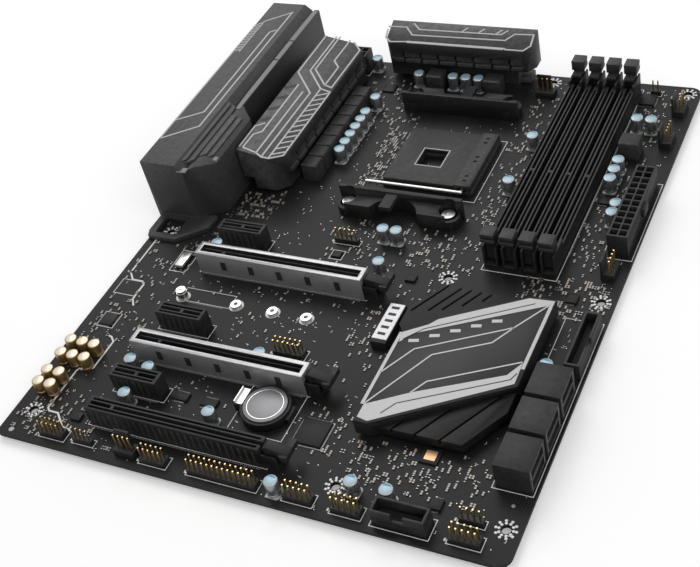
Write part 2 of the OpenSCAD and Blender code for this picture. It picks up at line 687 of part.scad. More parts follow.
// Shroud over the ports: open towards the board and the rear
module io_cover() {
    x1 = cover_x0 + cover_w;
    y0 = cover_y0;
    h = cover_h;
    t = cover_wall;
    place() color(dark) difference() {
        union() {
            difference() {
                intersection() {
                    linear_extrude(h) cover_plan(0);
                    // Top falls in a step and a slope towards the heatsink
                    translate([0, y0 + cover_l, 0]) rotate([90, 0, 0]) linear_extrude(cover_l) polygon([
                        [cover_x0, 0], [cover_x0, h], [x1 - 8.5, h], [x1 - 5, h - 3], [x1 - 4, h - 4.4],
                        [x1 - 3, h - 3], [x1, h - 3], [x1 + 8, h - 5.5], [x1 + 8, 0]]);
                }
                intersection() {
                    translate([0, 0, -1]) linear_extrude(h - t + 1) cover_plan(t);
                    translate([0, y0 + cover_l, 0]) rotate([90, 0, 0]) linear_extrude(cover_l) polygon([
                        [cover_x0 - 6, -2], [cover_x0 - 6, h], [x1 - 9.4, h], [x1 - 9.4, h - t],
                        [x1 - 5.8, h - t - 3.6], [x1 - t, h - t - 4.6], [x1 + 8 - t, h - t - 6.6],
                        [x1 + 8 - t, -2]]);
                }
                // The side wall stops above the heatsink's foot
                box([x1 - 5, y0 + 54, -1], [20, cover_l, 9]);
            }
            // Foot plate with its window
            linear_extrude(2.6) polygon([[0.6, y0 - 18], [17, y0 - 18], [30.6, y0 - 6], [30.6, y0 + 4],
                [-1, y0 + 1], [-1, y0 - 14]]);
        }
        box([3.4, y0 - 14.4, -1], [12.4, 11.6, 9]);
        box([-10, y0 + t, -1], [30, cover_l - 2 * t, 0.8 + 1]);
    }
}

// A metal shell with a rectangular mouth facing the rear
module shell(y, w, z, h) {
    difference() {
        box([-rear_reach, y, z], [port_depth, w, h]);
        box([-rear_reach - 1, y + 0.6, z + 0.6], [port_depth - 4, w - 1.2, h - 1.2]);
    }
}

module usb_mouth(y, z) {
    box([-rear_reach - 1, y, z], [12, 12.6, 5.2]);
}

module usb_tongue(y, z) {
    box([-rear_reach + 0.8, y + 1.2, z + 1.6], [11, 10.2, 1.8]);
}

// A stack of two USB ports in one shell
module usb_pair(y, z) {
    difference() {
        box([-rear_reach, y, z], [port_depth, 14.6, 15.2]);
        usb_mouth(y + 1, z + 1.4);
        usb_mouth(y + 1, z + 8.6);
    }
    usb_tongue(y + 1, z + 1.4);
    usb_tongue(y + 1, z + 8.6);
}

module ps2_usb_port() {
    y = ty(17.4);
    place() color(steel) {
        usb_pair(y, 0);
        difference() {
            box([-rear_reach, y, 15.2], [port_depth, 14.6, 14.2]);
            translate([-rear_reach - 1, y + 7.3, 22.3]) rotate([0, 90, 0]) difference() {
                cylinder(r = 5, h = 9);
                cylinder(r = 3.4, h = 9.5);
            }
        }
    }
}

module display_ports() {
    y = ty(58.4);
    place() color(steel) {
        difference() {
            box([-rear_reach, y, 12.2], [port_depth, 38.4, 12]);
            difference() {
                box([-rear_reach - 1, y + 6, 14.2], [9, 26.4, 8]);
                box([-rear_reach - 1, y + 7.4, 15.6], [10, 23.6, 5.2]);
            }
        }
        difference() {
            box([-rear_reach, y + 11, 0], [port_depth, 17, 12.2]);
            box([-rear_reach - 1, y + 12, 3], [11, 15, 5.6]);
        }
        box([-rear_reach + 0.8, y + 14, 5], [10, 11, 1.4]);
    }
}

module usb_ports() {
    place() color(steel) for (d = [76, 117.5]) {
        usb_pair(ty(d), 0);
    }
}

module lan_usb_port() {
    y = ty(96.6);
    place() color(steel) {
        usb_pair(y + 0.7, 0);
        difference() {
            box([-rear_reach, y, 15.2], [port_depth, 16, 14]);
            box([-rear_reach - 1, y + 2, 17], [13.5, 12, 8.4]);
        }
    }
}

module audio_jacks() {
    y = ty(149.4);
    place() color([0.18, 0.18, 0.19]) for (c = [0, 1]) difference() {
        box([-rear_reach + 1, y + c * 13.2, 0], [port_depth - 3, 12.8, 33]);
        for (r = [0:2]) translate([-rear_reach, y + c * 13.2 + 6.4, 5.6 + r * 10.9]) rotate([0, 90, 0]) cylinder(r = 1.8, h = 14);
    }
}

// ---------------------------------------------------------------- battery

cell_r = battery_d / 2;

module battery_holder() {
    place() color(black) difference() {
        union() {
            post(batt_x, batt_y, 0, cell_r + battery_gap + 1.2, 4.4);
            box([batt_x - cell_r - 4.4, batt_y - 3.2, 0], [6, 10, 4.4]);
            box([batt_x + cell_r - 2, batt_y - 4, 0], [4.8, 8, 3]);
        }
        post(batt_x, batt_y, batt_z, cell_r + battery_gap, 10);
        post(batt_x, batt_y, -1, cell_r - 3, 10);
    }
}

module battery() {
    place() color(steel) {
        post(batt_x, batt_y, batt_z + eps, cell_r - 0.8, 0.5);
        post(batt_x, batt_y, batt_z + eps + 0.4, cell_r, battery_t - 0.4);
    }
}

// Spring clip beside the cell, on the holder's shoulder
module battery_clip() {
    x = batt_x - cell_r - battery_gap - 3.9;
    place() color(steel) {
        box([x, batt_y - 2.6, 4.4], [3.7, 8.8, 0.4]);
        box([x, batt_y - 2.6, 4.4], [0.4, 8.8, 1.6]);
    }
}

// ---------------------------------------------------------------- power connectors

cell = 4.2;

// Two rows of square cells, with its latch ramp on one long side
module power_connector(n, h) {
    w = 2 * cell + 1.2;
    l = n * cell + 1.2;
    difference() {
        union() {
            cube([w, l, h]);
            translate([w, l / 2 - 3, h - 7]) cube([1.6, 6, 4.5]);
        }
        for (i = [0:n - 1], j = [0, 1])
            translate([0.6 + j * cell + 0.4, 0.6 + i * cell + 0.4, 2]) cube([cell - 0.8, cell - 0.8, h]);
    }
    for (i = [0:n - 1], j = [0, 1])
        translate([0.6 + (j + 0.5) * cell - 0.5, 0.6 + (i + 0.5) * cell - 0.5, 1.9]) cube([1, 1, h - 5]);
}

module atx_power_connector() {
    place() color(black) translate([fx(12.2), ty(133.4), 0]) power_connector(12, 12.2);
}

module cpu_power_connector() {
    place() color(black) translate([56.6, ty(13.4), 0]) rotate([0, 0, 90]) power_connector(4, 12.2);
}

// ---------------------------------------------------------------- drive ports

sata_h = 13.6;
sata_d = 15;
sata_w = 17;
sata_pitch = 19.1;

module sata_ports() {
    place() color(dark) for (k = [0:2]) {
        y = 34.3 + k * sata_pitch;
        x = fx(2) - sata_d;
        difference() {
            box([x, y, 0], [sata_d, sata_w, sata_h]);
            for (z = [1.4, 7.6]) box([x + sata_d - 8, y + 1.4, z], [10, sata_w - 2.8, 4.6]);
        }
        for (z = [1.4, 7.6]) {
            box([x + sata_d - 8.1, y + 3.2, z + 1.6], [7.4, sata_w - 6.4, 1.2]);
            box([x + sata_d - 8.1, y + 3.2, z + 1.6], [7.4, 1.2, 2.4]);
        }
    }
}

// Boxed 2x10 headers: one by the header edge, one by the front edge
module usb3_headers() {
    place() color(black) {
        difference() {
            box([187, 4, 0], [23, 8, 8.6]);
            box([188.2, 5.2, 2.2], [20.6, 5.6, 10]);
            box([196, 2, 5], [5, 4, 10]);
        }
        difference() {
            box([fx(8.6), 95.2, 0], [7, 32, 8.2]);
            box([fx(7.4), 96.4, 2.2], [4.6, 29.6, 10]);
            box([fx(3.6), 107, 5], [4, 5, 10]);
        }
    }
}

// ---------------------------------------------------------------- pin headers

// Each header: low corner, columns along X, rows along Y
headers = [[22.5, 4.6, 5, 2], [40.4, 5.6, 4, 1], [77, 4.2, 5, 2], [101, 4.6, 13, 2], [147, 4.4, 5, 2],
    [168.6, 4.4, 5, 2], [218.4, 4.8, 5, 2], [219, 14.6, 4, 1], [105.4, 75.8, 6, 2], [100.6, 152.6, 5, 1],
    [fx(25.1), ty(9.6), 2, 1]];
// Each fan header: low corner, and whether its pins run along Y
fan_headers = [[63.4, 4.6, false], [fx(9.9), ty(26.6), true], [fx(9.9), ty(52.8), true],
    [fx(10.7), ty(149.8), true], [159.6, ty(20.4), false]];
fan_l = 10.4;
fan_w = 6;

module header_bases() {
    place() color(black) {
        for (h = headers) difference() {
            box([h[0], h[1], 0], [h[2] * pin_pitch, h[3] * pin_pitch, base_h]);
            for (i = [0:h[2] - 1], j = [0:h[3] - 1])
                box([h[0] + (i + 0.5) * pin_pitch - pin_w / 2, h[1] + (j + 0.5) * pin_pitch - pin_w / 2, -1],
                    [pin_w, pin_w, base_h + 2]);
        }
        for (f = fan_headers) translate([f[0], f[1], 0]) {
            s = f[2] ? [fan_w, fan_l, 3.2] : [fan_l, fan_w, 3.2];
            difference() {
                union() {
                    cube(s);
                    if (f[2]) cube([1, fan_l - 2.6, 10.8]);
                    else translate([0, fan_w - 1, 0]) cube([fan_l - 2.6, 1, 10.8]);
                }
                for (i = [0:3]) fan_pin(f[2], i, -1);
            }
        }
    }
}

module fan_pin(along_y, i, z) {
    a = (fan_l - 3 * pin_pitch) / 2 + i * pin_pitch - pin_w / 2;
    b = fan_w / 2 + 0.6;
    if (along_y) box([b, a, z], [pin_w, pin_w, 10.6 - z]);
    else box([a, fan_w - b, z], [pin_w, pin_w, 10.6 - z]);
}

module header_pins() {
    place() color(gold) {
        for (h = headers, i = [0:h[2] - 1], j = [0:h[3] - 1])
            box([h[0] + (i + 0.5) * pin_pitch - pin_w / 2, h[1] + (j + 0.5) * pin_pitch - pin_w / 2, 0],
                [pin_w, pin_w, pin_h]);
        for (f = fan_headers) translate([f[0], f[1], 0]) for (i = [0:3]) fan_pin(f[2], i, 0);
    }
}

// ---------------------------------------------------------------- chips and M.2

// Low corner, size along X and Y, height
chip_list = [[137.5, 32, 13, 13.6, 1.4], [193, 37, 8, 8, 0.9], [205.6, 16.6, 5, 5.4, 1.5], [9.4, 72.6, 7.4, 7.6, 1],
    [103.4, 142, 4.6, 4.2, 1], [fx(21.4), 137, 5, 5.6, 1.3], [72, 39.4, 8, 4.6, 1.2], [87, 39.4, 8, 4.6, 1.2],
    [fx(29.2), ty(19.6), 8.2, 9.2, 1.5], [71.8, ty(28.6), 7, 7, 0.9], [31.6, 16, 5, 4.2, 1.2],
    [fx(26.4), ty(100), 5.4, 4.6, 1.2], [146, 134, 5, 4.4, 1.2]];

module chips() {
    place() color(black) for (c = chip_list) box([c[0], c[1], 0], [c[2], c[3], c[4]]);
}

module m2_socket() {
    place() color(dark) difference() {
        box([147.8, 91, 0], [7.6, 25, 4.2]);
        box([147, 94, 1.6], [3.6, 20, 1.2]);
    }
}

// Solder nuts for three drive lengths, and the standoff with its screw for the longest
module m2_mounts() {
    place() color(steel) {
        for (x = [72.5, 92.5, 110.5]) difference() {
            post(x, 100, 0, 2.6, 1.6);
            post(x, 100, -1, 1.1, 4);
        }
        post(42.5, 99.5, 0, 2.6, 3.6);
        difference() {
            post(42.5, 99.5, 3.6, 2.4, 1.4);
            box([41.2, 99.2, 4.4], [2.6, 0.6, 2]);
        }
    }
}

pcb();
solder_tails();
cpu_backplate();
cpu_bracket_lower();
cpu_bracket_upper();
cpu_bracket_screws();
cpu_socket_base();
cpu_socket_slide();
cpu_socket_lever();
dimm_slot_1();
dimm_slot_2();
dimm_slot_3();
dimm_slot_4();
dimm_latch_1_near();
dimm_latch_2_near();
dimm_latch_3_near();
dimm_latch_4_near();
dimm_latch_1_far();
dimm_latch_2_far();
dimm_latch_3_far();
dimm_latch_4_far();
pcie_x16_slot_1();
pcie_x16_slot_2();
pcie_x16_slot_3();
pcie_latch_1();
pcie_latch_2();
pcie_latch_3();
pcie_shield_1();
pcie_shield_2();
pcie_x1_slots();
chipset();
chipset_heatsink();
chipset_badge();
heatsink_screws();
vrm_heatsink_left();
vrm_heatsink_top();
thermal_pads();
mosfets();
chokes();
polymer_capacitors();
audio_capacitors();
io_cover();
ps2_usb_port();
display_ports();
usb_ports();
lan_usb_port();
audio_jacks();
battery_holder();
battery();
battery_clip();
atx_power_connector();
cpu_power_connector();
sata_ports();
usb3_headers();
header_bases();
header_pins();
chips();
m2_socket();
m2_mounts();
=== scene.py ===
"""Finishes and fine detail for a full-size computer motherboard.

Lengths are in millimetres in the board's own frame, unless a name says otherwise: X runs from the
rear port edge to the front edge, Y from the header edge to the processor edge, Z up from the board.
"""

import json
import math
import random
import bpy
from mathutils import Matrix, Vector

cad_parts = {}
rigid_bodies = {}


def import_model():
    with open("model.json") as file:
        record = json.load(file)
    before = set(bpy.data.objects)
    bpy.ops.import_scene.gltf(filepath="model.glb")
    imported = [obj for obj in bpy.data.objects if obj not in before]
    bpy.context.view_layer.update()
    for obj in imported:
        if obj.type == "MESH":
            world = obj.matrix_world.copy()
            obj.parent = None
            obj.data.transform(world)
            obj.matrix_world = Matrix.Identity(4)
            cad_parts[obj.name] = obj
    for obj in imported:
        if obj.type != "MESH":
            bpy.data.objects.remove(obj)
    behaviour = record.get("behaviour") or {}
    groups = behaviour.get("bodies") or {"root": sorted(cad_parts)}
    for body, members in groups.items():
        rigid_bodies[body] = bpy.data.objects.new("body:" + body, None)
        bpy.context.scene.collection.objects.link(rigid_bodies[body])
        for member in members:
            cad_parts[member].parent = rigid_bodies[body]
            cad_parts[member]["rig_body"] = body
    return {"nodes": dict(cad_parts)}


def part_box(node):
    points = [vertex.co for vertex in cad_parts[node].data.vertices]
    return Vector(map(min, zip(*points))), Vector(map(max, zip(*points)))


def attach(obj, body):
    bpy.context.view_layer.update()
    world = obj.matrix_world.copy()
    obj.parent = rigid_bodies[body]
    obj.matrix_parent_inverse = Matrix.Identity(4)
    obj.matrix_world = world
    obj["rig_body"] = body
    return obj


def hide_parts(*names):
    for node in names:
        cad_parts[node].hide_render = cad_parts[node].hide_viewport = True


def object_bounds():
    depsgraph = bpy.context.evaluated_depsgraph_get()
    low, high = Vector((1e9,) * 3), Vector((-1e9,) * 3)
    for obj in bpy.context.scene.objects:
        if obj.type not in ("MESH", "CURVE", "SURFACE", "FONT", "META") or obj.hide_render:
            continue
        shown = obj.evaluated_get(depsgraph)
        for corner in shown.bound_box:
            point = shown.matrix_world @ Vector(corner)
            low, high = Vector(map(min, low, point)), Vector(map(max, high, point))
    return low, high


bl_info = {
    "name": "Motherboard finishes",
    "version": (1, 0, 0),
    "blender": (4, 5, 0),
    "location": "3D View > Sidebar > Board",
    "description": "Builds the surface detail and materials of a computer motherboard",
    "category": "Object",
}

import bmesh
import bpy
from bpy.props import FloatProperty, FloatVectorProperty, IntProperty, PointerProperty
from mathutils import Vector
from mathutils.bvhtree import BVHTree

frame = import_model()
NODES = frame["nodes"]
CAD_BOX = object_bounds()

MM = 0.001
BOARD_LOW, BOARD_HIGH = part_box("pcb")
BOARD_W = (BOARD_HIGH.x - BOARD_LOW.x) / MM
BOARD_L = (BOARD_HIGH.y - BOARD_LOW.y) / MM
PRINT = 0.06            # thickness of a printed line
MAIN = "board"          # the body that everything fixed rides on
SOLDER_SINK = 0.02      # how far soldered parts reach into the board
INK_SINK = 0.2          # how far printed lines reach into what they lie on
PIN_PITCH = 2.54        # pins of the headers along the board's edges
SLOT_FIRST = 20.4       # middle of the lowest expansion slot
SLOT_PITCH = 20.32      # expansion slots
LONG_SLOTS = (5, 2, 0)  # places that hold a long expansion slot, counted from the lowest
SHORT_SLOTS = (6, 3, 1)
MEMORY_FIRST = 182.2    # middle of the first memory slot
MEMORY_PITCH = 9.25
MEMORY_KEY = 213.5      # the rib across a memory slot
SOCKET_TOP = 5.2        # top of the processor socket's sliding cover
COVER_TOP = 36
TURN = 2 * math.pi
SHARP = math.radians(38)  # edges sharper than this stay sharp when a piece is shaded smooth


def at(x, y, z=0.0):
    """A point of the board's frame, in metres in the row frame."""
    return Vector((BOARD_LOW.x + x * MM, BOARD_LOW.y + y * MM, BOARD_HIGH.z + z * MM))


def span(node):
    """A CAD node's lowest and highest corners in the board's frame."""
    low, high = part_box(node)
    base = Vector((BOARD_LOW.x, BOARD_LOW.y, BOARD_HIGH.z))
    return (low - base) / MM, (high - base) / MM


def slot_y(n):
    """The middle of the expansion slot at place n."""
    return SLOT_FIRST + SLOT_PITCH * n


# ---------------------------------------------------------------- settings

class BoardColours(bpy.types.PropertyGroup):
    """Colours of the board and of what is printed on its parts"""
    mask: FloatVectorProperty(name="Solder mask", description="Colour of the board", subtype="COLOR",
                              size=3, min=0, max=1, default=(0.012, 0.012, 0.0125))
    silk: FloatVectorProperty(name="Legend", description="Colour of the printed legend", subtype="COLOR",
                              size=3, min=0, max=1, default=(0.70, 0.71, 0.70))
    silver: FloatVectorProperty(name="Silver print", description="Colour of the lines on the metal",
                                subtype="COLOR", size=3, min=0, max=1, default=(0.40, 0.40, 0.40))
    can_mark: FloatVectorProperty(name="Capacitor mark", description="Colour of the mark on a can",
                                  subtype="COLOR", size=3, min=0, max=1, default=(0.10, 0.32, 0.46))


class BoardSizes(bpy.types.PropertyGroup):
    """Widths, counts and the seed of the fine detail"""
    silk_line: FloatProperty(name="Legend line", description="Width of a legend line in millimetres",
                             default=0.35, min=0.1, max=1.0)
    silver_line: FloatProperty(name="Silver line", description="Width of a silver line in millimetres",
                               default=0.95, min=0.3, max=2.0)
    edge: FloatProperty(name="Edge", description="Widest bevel of moulded edges in mm",
                        default=0.18, min=0.02, max=0.5)
    small_parts: IntProperty(name="Small parts", description="How many small parts are tried",
                             default=1500, min=0, max=6000)
    seed: IntProperty(name="Seed", description="Seed of the small parts' places", default=7, min=0)


class StageSettings(bpy.types.PropertyGroup):
    """The camera's lens and the lights"""
    lens: FloatProperty(name="Lens", description="Focal length for a 36 mm wide sensor, in millimetres",
                        default=62.63, min=20, max=200)
    key: FloatProperty(name="Key light", description="Power of the large soft light", subtype="POWER",
                       default=9.0, min=0)
    fill: FloatProperty(name="Fill light", description="Power of the fill light", subtype="POWER",
                        default=2.2, min=0)


# ---------------------------------------------------------------- shader groups

def add(tree, kind, values):
    """A new node with these input values."""
    node = tree.nodes.new(kind)
    for label, value in values.items():
        node.inputs[label].default_value = value
    return node


def new_group(name, inputs, outputs):
    """A shader node group with its input and output nodes."""
    tree = bpy.data.node_groups.new(name, "ShaderNodeTree")
    for label, kind, value in inputs:
        socket = tree.interface.new_socket(label, in_out="INPUT", socket_type=kind)
        if value is not None:
            socket.default_value = value
    for label, kind in outputs:
        tree.interface.new_socket(label, in_out="OUTPUT", socket_type=kind)
    return tree, tree.nodes.new("NodeGroupInput"), tree.nodes.new("NodeGroupOutput")


def grain_group():
    """Fine moulded or cast grain with broad patches: a colour mask and a height."""
    tree, source, sink = new_group(
        "surface_grain",
        [("Position", "NodeSocketVector", None), ("Grain Scale", "NodeSocketFloat", 3000.0),
         ("Patch Scale", "NodeSocketFloat", 60.0)],
        [("Mask", "NodeSocketFloat"), ("Height", "NodeSocketFloat")])
    fine = add(tree, "ShaderNodeTexNoise", {"Detail": 3.0})
    broad = add(tree, "ShaderNodeTexNoise", {"Detail": 4.0})
    both = add(tree, "ShaderNodeMix", {"Factor": 0.35})
    link = tree.links.new
    link(source.outputs["Position"], fine.inputs["Vector"])
    link(source.outputs["Grain Scale"], fine.inputs["Scale"])
    link(source.outputs["Position"], broad.inputs["Vector"])
    link(source.outputs["Patch Scale"], broad.inputs["Scale"])
    link(broad.outputs["Fac"], both.inputs["A"])
    link(fine.outputs["Fac"], both.inputs["B"])
    link(both.outputs["Result"], sink.inputs["Mask"])
    link(fine.outputs["Fac"], sink.inputs["Height"])
    return tree


def brushed_group():
    """Brushed metal: noise drawn out along one direction."""
    tree, source, sink = new_group(
        "brushed_lines",
        [("Position", "NodeSocketVector", None), ("Stretch", "NodeSocketVector", (60.0, 4000.0, 4000.0)),
         ("Contrast", "NodeSocketFloat", 1.0)],
        [("Mask", "NodeSocketFloat"), ("Height", "NodeSocketFloat")])
    scaled = tree.nodes.new("ShaderNodeVectorMath")
    scaled.operation = "MULTIPLY"
    lines = add(tree, "ShaderNodeTexNoise", {"Scale": 1.0, "Detail": 2.0})
    gain = tree.nodes.new("ShaderNodeMath")
    gain.operation = "MULTIPLY"
    link = tree.links.new
    link(source.outputs["Position"], scaled.inputs[0])
    link(source.outputs["Stretch"], scaled.inputs[1])
    link(scaled.outputs["Vector"], lines.inputs["Vector"])
    link(lines.outputs["Fac"], gain.inputs[0])
    link(source.outputs["Contrast"], gain.inputs[1])
    link(gain.outputs["Value"], sink.inputs["Mask"])
    link(lines.outputs["Fac"], sink.inputs["Height"])
    return tree


def wear_group():
    """Edges rubbed lighter: where the surface turns sharply, broken up by noise."""
    tree, source, sink = new_group(
        "edge_wear",
        [("Position", "NodeSocketVector", None), ("Start", "NodeSocketFloat", 0.52),
         ("End", "NodeSocketFloat", 0.60)],
        [("Mask", "NodeSocketFloat")])
    shape = tree.nodes.new("ShaderNodeNewGeometry")
    noise = add(tree, "ShaderNodeTexNoise", {"Scale": 400.0})
    ramp = tree.nodes.new("ShaderNodeMapRange")
    broken = tree.nodes.new("ShaderNodeMath")
    broken.operation = "MULTIPLY"
    link = tree.links.new
    link(source.outputs["Position"], noise.inputs["Vector"])
    link(shape.outputs["Pointiness"], ramp.inputs["Value"])
    link(source.outputs["Start"], ramp.inputs["From Min"])
    link(source.outputs["End"], ramp.inputs["From Max"])
    link(ramp.outputs["Result"], broken.inputs[0])
    link(noise.outputs["Fac"], broken.inputs[1])
    link(broken.outputs["Value"], sink.inputs["Mask"])
    return tree


def dust_group():
    """Sparse fine specks."""
    tree, source, sink = new_group(
        "fine_dust",
        [("Position", "NodeSocketVector", None), ("Speck Scale", "NodeSocketFloat", 1500.0),
         ("Amount", "NodeSocketFloat", 0.70)],
        [("Mask", "NodeSocketFloat")])
    noise = add(tree, "ShaderNodeTexNoise", {"Detail": 1.0})
    ramp = add(tree, "ShaderNodeMapRange", {"From Max": 0.85})
    link = tree.links.new
    link(source.outputs["Position"], noise.inputs["Vector"])
    link(source.outputs["Speck Scale"], noise.inputs["Scale"])
    link(noise.outputs["Fac"], ramp.inputs["Value"])
    link(source.outputs["Amount"], ramp.inputs["From Min"])
    link(ramp.outputs["Result"], sink.inputs["Mask"])
    return tree


def trace_group():
    """Copper tracks under the mask: thin parallel lines that switch direction between patches."""
    tree, source, sink = new_group(
        "copper_tracks",
        [("Position", "NodeSocketVector", None), ("Track Scale", "NodeSocketFloat", 260.0),
         ("Patch Scale", "NodeSocketFloat", 22.0)],
        [("Mask", "NodeSocketFloat"), ("Height", "NodeSocketFloat")])
    along = tree.nodes.new("ShaderNodeTexWave")
    across = tree.nodes.new("ShaderNodeTexWave")
    across.bands_direction = "DIAGONAL"
    patches = tree.nodes.new("ShaderNodeTexVoronoi")
    pick = tree.nodes.new("ShaderNodeMix")
    sharp = add(tree, "ShaderNodeMapRange", {"From Min": 0.55, "From Max": 0.65})
    where = add(tree, "ShaderNodeTexNoise", {"Scale": 30.0})
    gate = add(tree, "ShaderNodeMapRange", {"From Min": 0.48, "From Max": 0.54})
    drawn = tree.nodes.new("ShaderNodeMath")
    drawn.operation = "MULTIPLY"
    link = tree.links.new
    for wave in (along, across):
        link(source.outputs["Position"], wave.inputs["Vector"])
        link(source.outputs["Track Scale"], wave.inputs["Scale"])
    link(source.outputs["Position"], patches.inputs["Vector"])
    link(source.outputs["Patch Scale"], patches.inputs["Scale"])
    link(source.outputs["Position"], where.inputs["Vector"])
    link(patches.outputs["Distance"], pick.inputs["Factor"])
    link(along.outputs["Fac"], pick.inputs["A"])
    link(across.outputs["Fac"], pick.inputs["B"])
    link(pick.outputs["Result"], sharp.inputs["Value"])
    link(where.outputs["Fac"], gate.inputs["Value"])
    link(sharp.outputs["Result"], drawn.inputs[0])
    link(gate.outputs["Result"], drawn.inputs[1])
    link(drawn.outputs["Value"], sink.inputs["Mask"])
    link(drawn.outputs["Value"], sink.inputs["Height"])
    return tree


GROUP_MAKERS = {"grain": grain_group, "brushed": brushed_group, "wear": wear_group,
                "dust": dust_group, "tracks": trace_group}
_groups = {}


def use_group(tree, kind, coordinate, **values):
    """Places a shared group in a material's tree and sets its own values."""
    if kind not in _groups:
        _groups[kind] = GROUP_MAKERS[kind]()
    node = tree.nodes.new("ShaderNodeGroup")
    node.node_tree = _groups[kind]
    tree.links.new(coordinate, node.inputs["Position"])
    for label, value in values.items():
        node.inputs[label.replace("_", " ")].default_value = value
    return node


# ---------------------------------------------------------------- materials

_materials = {}


def surface(name, base, second=None, rough=(0.45, 0.6), metallic=0.0, pattern="grain", bump=0.15,
            bump_distance=0.00005, wear=0.0, wear_colour=None, dust=0.0, specular=0.2, **values):
    """A finish: two tones mixed by a shared pattern, with its roughness, bump, wear and dust."""
    if name in _materials:
        return _materials[name]
    second = second or tuple(min(1.0, c * 1.35 + 0.004) for c in base)
    material = bpy.data.materials.new(name)
    material.use_nodes = True
    tree = material.node_tree
    link = tree.links.new
    shader = tree.nodes["Principled BSDF"]
    shader.inputs["Metallic"].default_value = metallic
    shader.inputs["Specular IOR Level"].default_value = specular
    place = tree.nodes.new("ShaderNodeTexCoord").outputs["Object"]
    made = use_group(tree, pattern, place, **values)
    tones = tree.nodes.new("ShaderNodeMix")
    tones.data_type = "RGBA"
    tones.inputs["A"].default_value = (*base, 1)
    tones.inputs["B"].default_value = (*second, 1)
    link(made.outputs["Mask"], tones.inputs["Factor"])
    colour = tones.outputs["Result"]
    for amount, kind, shade in ((wear, "wear", wear_colour or (0.35, 0.35, 0.35)),
                                (dust, "dust", (0.30, 0.30, 0.29))):
        if amount > 0:
            mask = use_group(tree, kind, place)
            scale = tree.nodes.new("ShaderNodeMath")
            scale.operation = "MULTIPLY"
            scale.inputs[1].default_value = amount
            over = tree.nodes.new("ShaderNodeMix")
            over.data_type = "RGBA"
            over.inputs["B"].default_value = (*shade, 1)
            link(mask.outputs["Mask"], scale.inputs[0])
            link(scale.outputs["Value"], over.inputs["Factor"])
            link(colour, over.inputs["A"])
            colour = over.outputs["Result"]
    link(colour, shader.inputs["Base Color"])
    roughness = add(tree, "ShaderNodeMapRange", {"To Min": rough[0], "To Max": rough[1]})
    link(made.outputs["Mask"], roughness.inputs["Value"])
    link(roughness.outputs["Result"], shader.inputs["Roughness"])
    relief = add(tree, "ShaderNodeBump", {"Strength": bump, "Distance": bump_distance})
    link(made.outputs["Height"], relief.inputs["Height"])
    link(relief.outputs["Normal"], shader.inputs["Normal"])
    _materials[name] = material
    return material


def solder_mask():
    colours = bpy.context.scene.board_colours
    return surface("solder_mask", tuple(colours.mask), (0.024, 0.024, 0.025), rough=(0.42, 0.50),
                   pattern="tracks", bump=0.25, bump_distance=0.00004, dust=0.06, specular=0.15)


def legend_ink():
    return surface("legend_ink", tuple(bpy.context.scene.board_colours.silk), rough=(0.5, 0.7), dust=0.1)


def silver_ink():
    base = tuple(bpy.context.scene.board_colours.silver)
    return surface("silver_ink", base, (0.50, 0.50, 0.50), rough=(0.35, 0.5), metallic=0.15)


def moulded_black():
    return surface("moulded_black", (0.006, 0.006, 0.0062), (0.014, 0.014, 0.0145), rough=(0.36, 0.52),
                   wear=0.5, wear_colour=(0.09, 0.09, 0.09), dust=0.15)


def moulded_grey():
    return surface("moulded_grey", (0.014, 0.014, 0.0145), (0.026, 0.026, 0.027), rough=(0.38, 0.52),
                   wear=0.5, wear_colour=(0.16, 0.16, 0.16), dust=0.12)


def cover_plastic():
    return surface("cover_plastic", (0.026, 0.026, 0.0265), (0.040, 0.040, 0.041), rough=(0.34, 0.46),
                   wear=0.6, wear_colour=(0.24, 0.24, 0.24), dust=0.08, Grain_Scale=5000.0)


def trim_grey():
    return surface("trim_grey", (0.22, 0.22, 0.22), (0.27, 0.27, 0.27), rough=(0.4, 0.5))


def anodised():
    return surface("anodised_dark", (0.016, 0.016, 0.0165), (0.030, 0.030, 0.031), rough=(0.36, 0.48),
                   metallic=0.25, wear=0.7, wear_colour=(0.3, 0.3, 0.3), Grain_Scale=6000.0, dust=0.06)


def anodised_black():
    return surface("anodised_black", (0.005, 0.005, 0.0052), (0.011, 0.011, 0.0115), rough=(0.4, 0.52),
                   metallic=0.2, wear=0.5, wear_colour=(0.12, 0.12, 0.12))


def badge_black():
    return surface("badge_black", (0.018, 0.018, 0.018), (0.036, 0.036, 0.036), rough=(0.32, 0.44),
                   metallic=0.4, pattern="brushed", Stretch=(300.0, 5000.0, 300.0))


def badge_silver():
    return surface("badge_silver", (0.26, 0.26, 0.26), (0.42, 0.42, 0.42), rough=(0.3, 0.42),
                   metallic=0.35, pattern="brushed", Stretch=(300.0, 5200.0, 300.0))


def steel():
    return surface("bright_steel", (0.50, 0.50, 0.51), (0.66, 0.66, 0.67), rough=(0.2, 0.34),
                   metallic=1.0, pattern="brushed", bump=0.08)


def shield_steel():
    return surface("shield_steel", (0.28, 0.28, 0.29), (0.42, 0.42, 0.43), rough=(0.3, 0.45),
                   metallic=0.6, pattern="brushed", bump=0.08, Stretch=(80.0, 900.0, 5000.0), wear=0.4,
                   wear_colour=(0.75, 0.75, 0.75))


def nickel():
    return surface("nickel_plate", (0.60, 0.59, 0.57), (0.74, 0.73, 0.71), rough=(0.22, 0.36), metallic=1.0)


def tin():
    return surface("tinned_solder", (0.24, 0.24, 0.24), (0.42, 0.42, 0.42), rough=(0.3, 0.45),
                   metallic=0.6, bump=0.4, Grain_Scale=2500.0)


def bright_solder():
    return surface("bright_solder", (0.60, 0.61, 0.61), (0.78, 0.78, 0.78), rough=(0.35, 0.5), metallic=0.3)


def gold():
    return surface("gold_plate", (0.56, 0.40, 0.17), (0.70, 0.53, 0.26), rough=(0.24, 0.36), metallic=1.0)


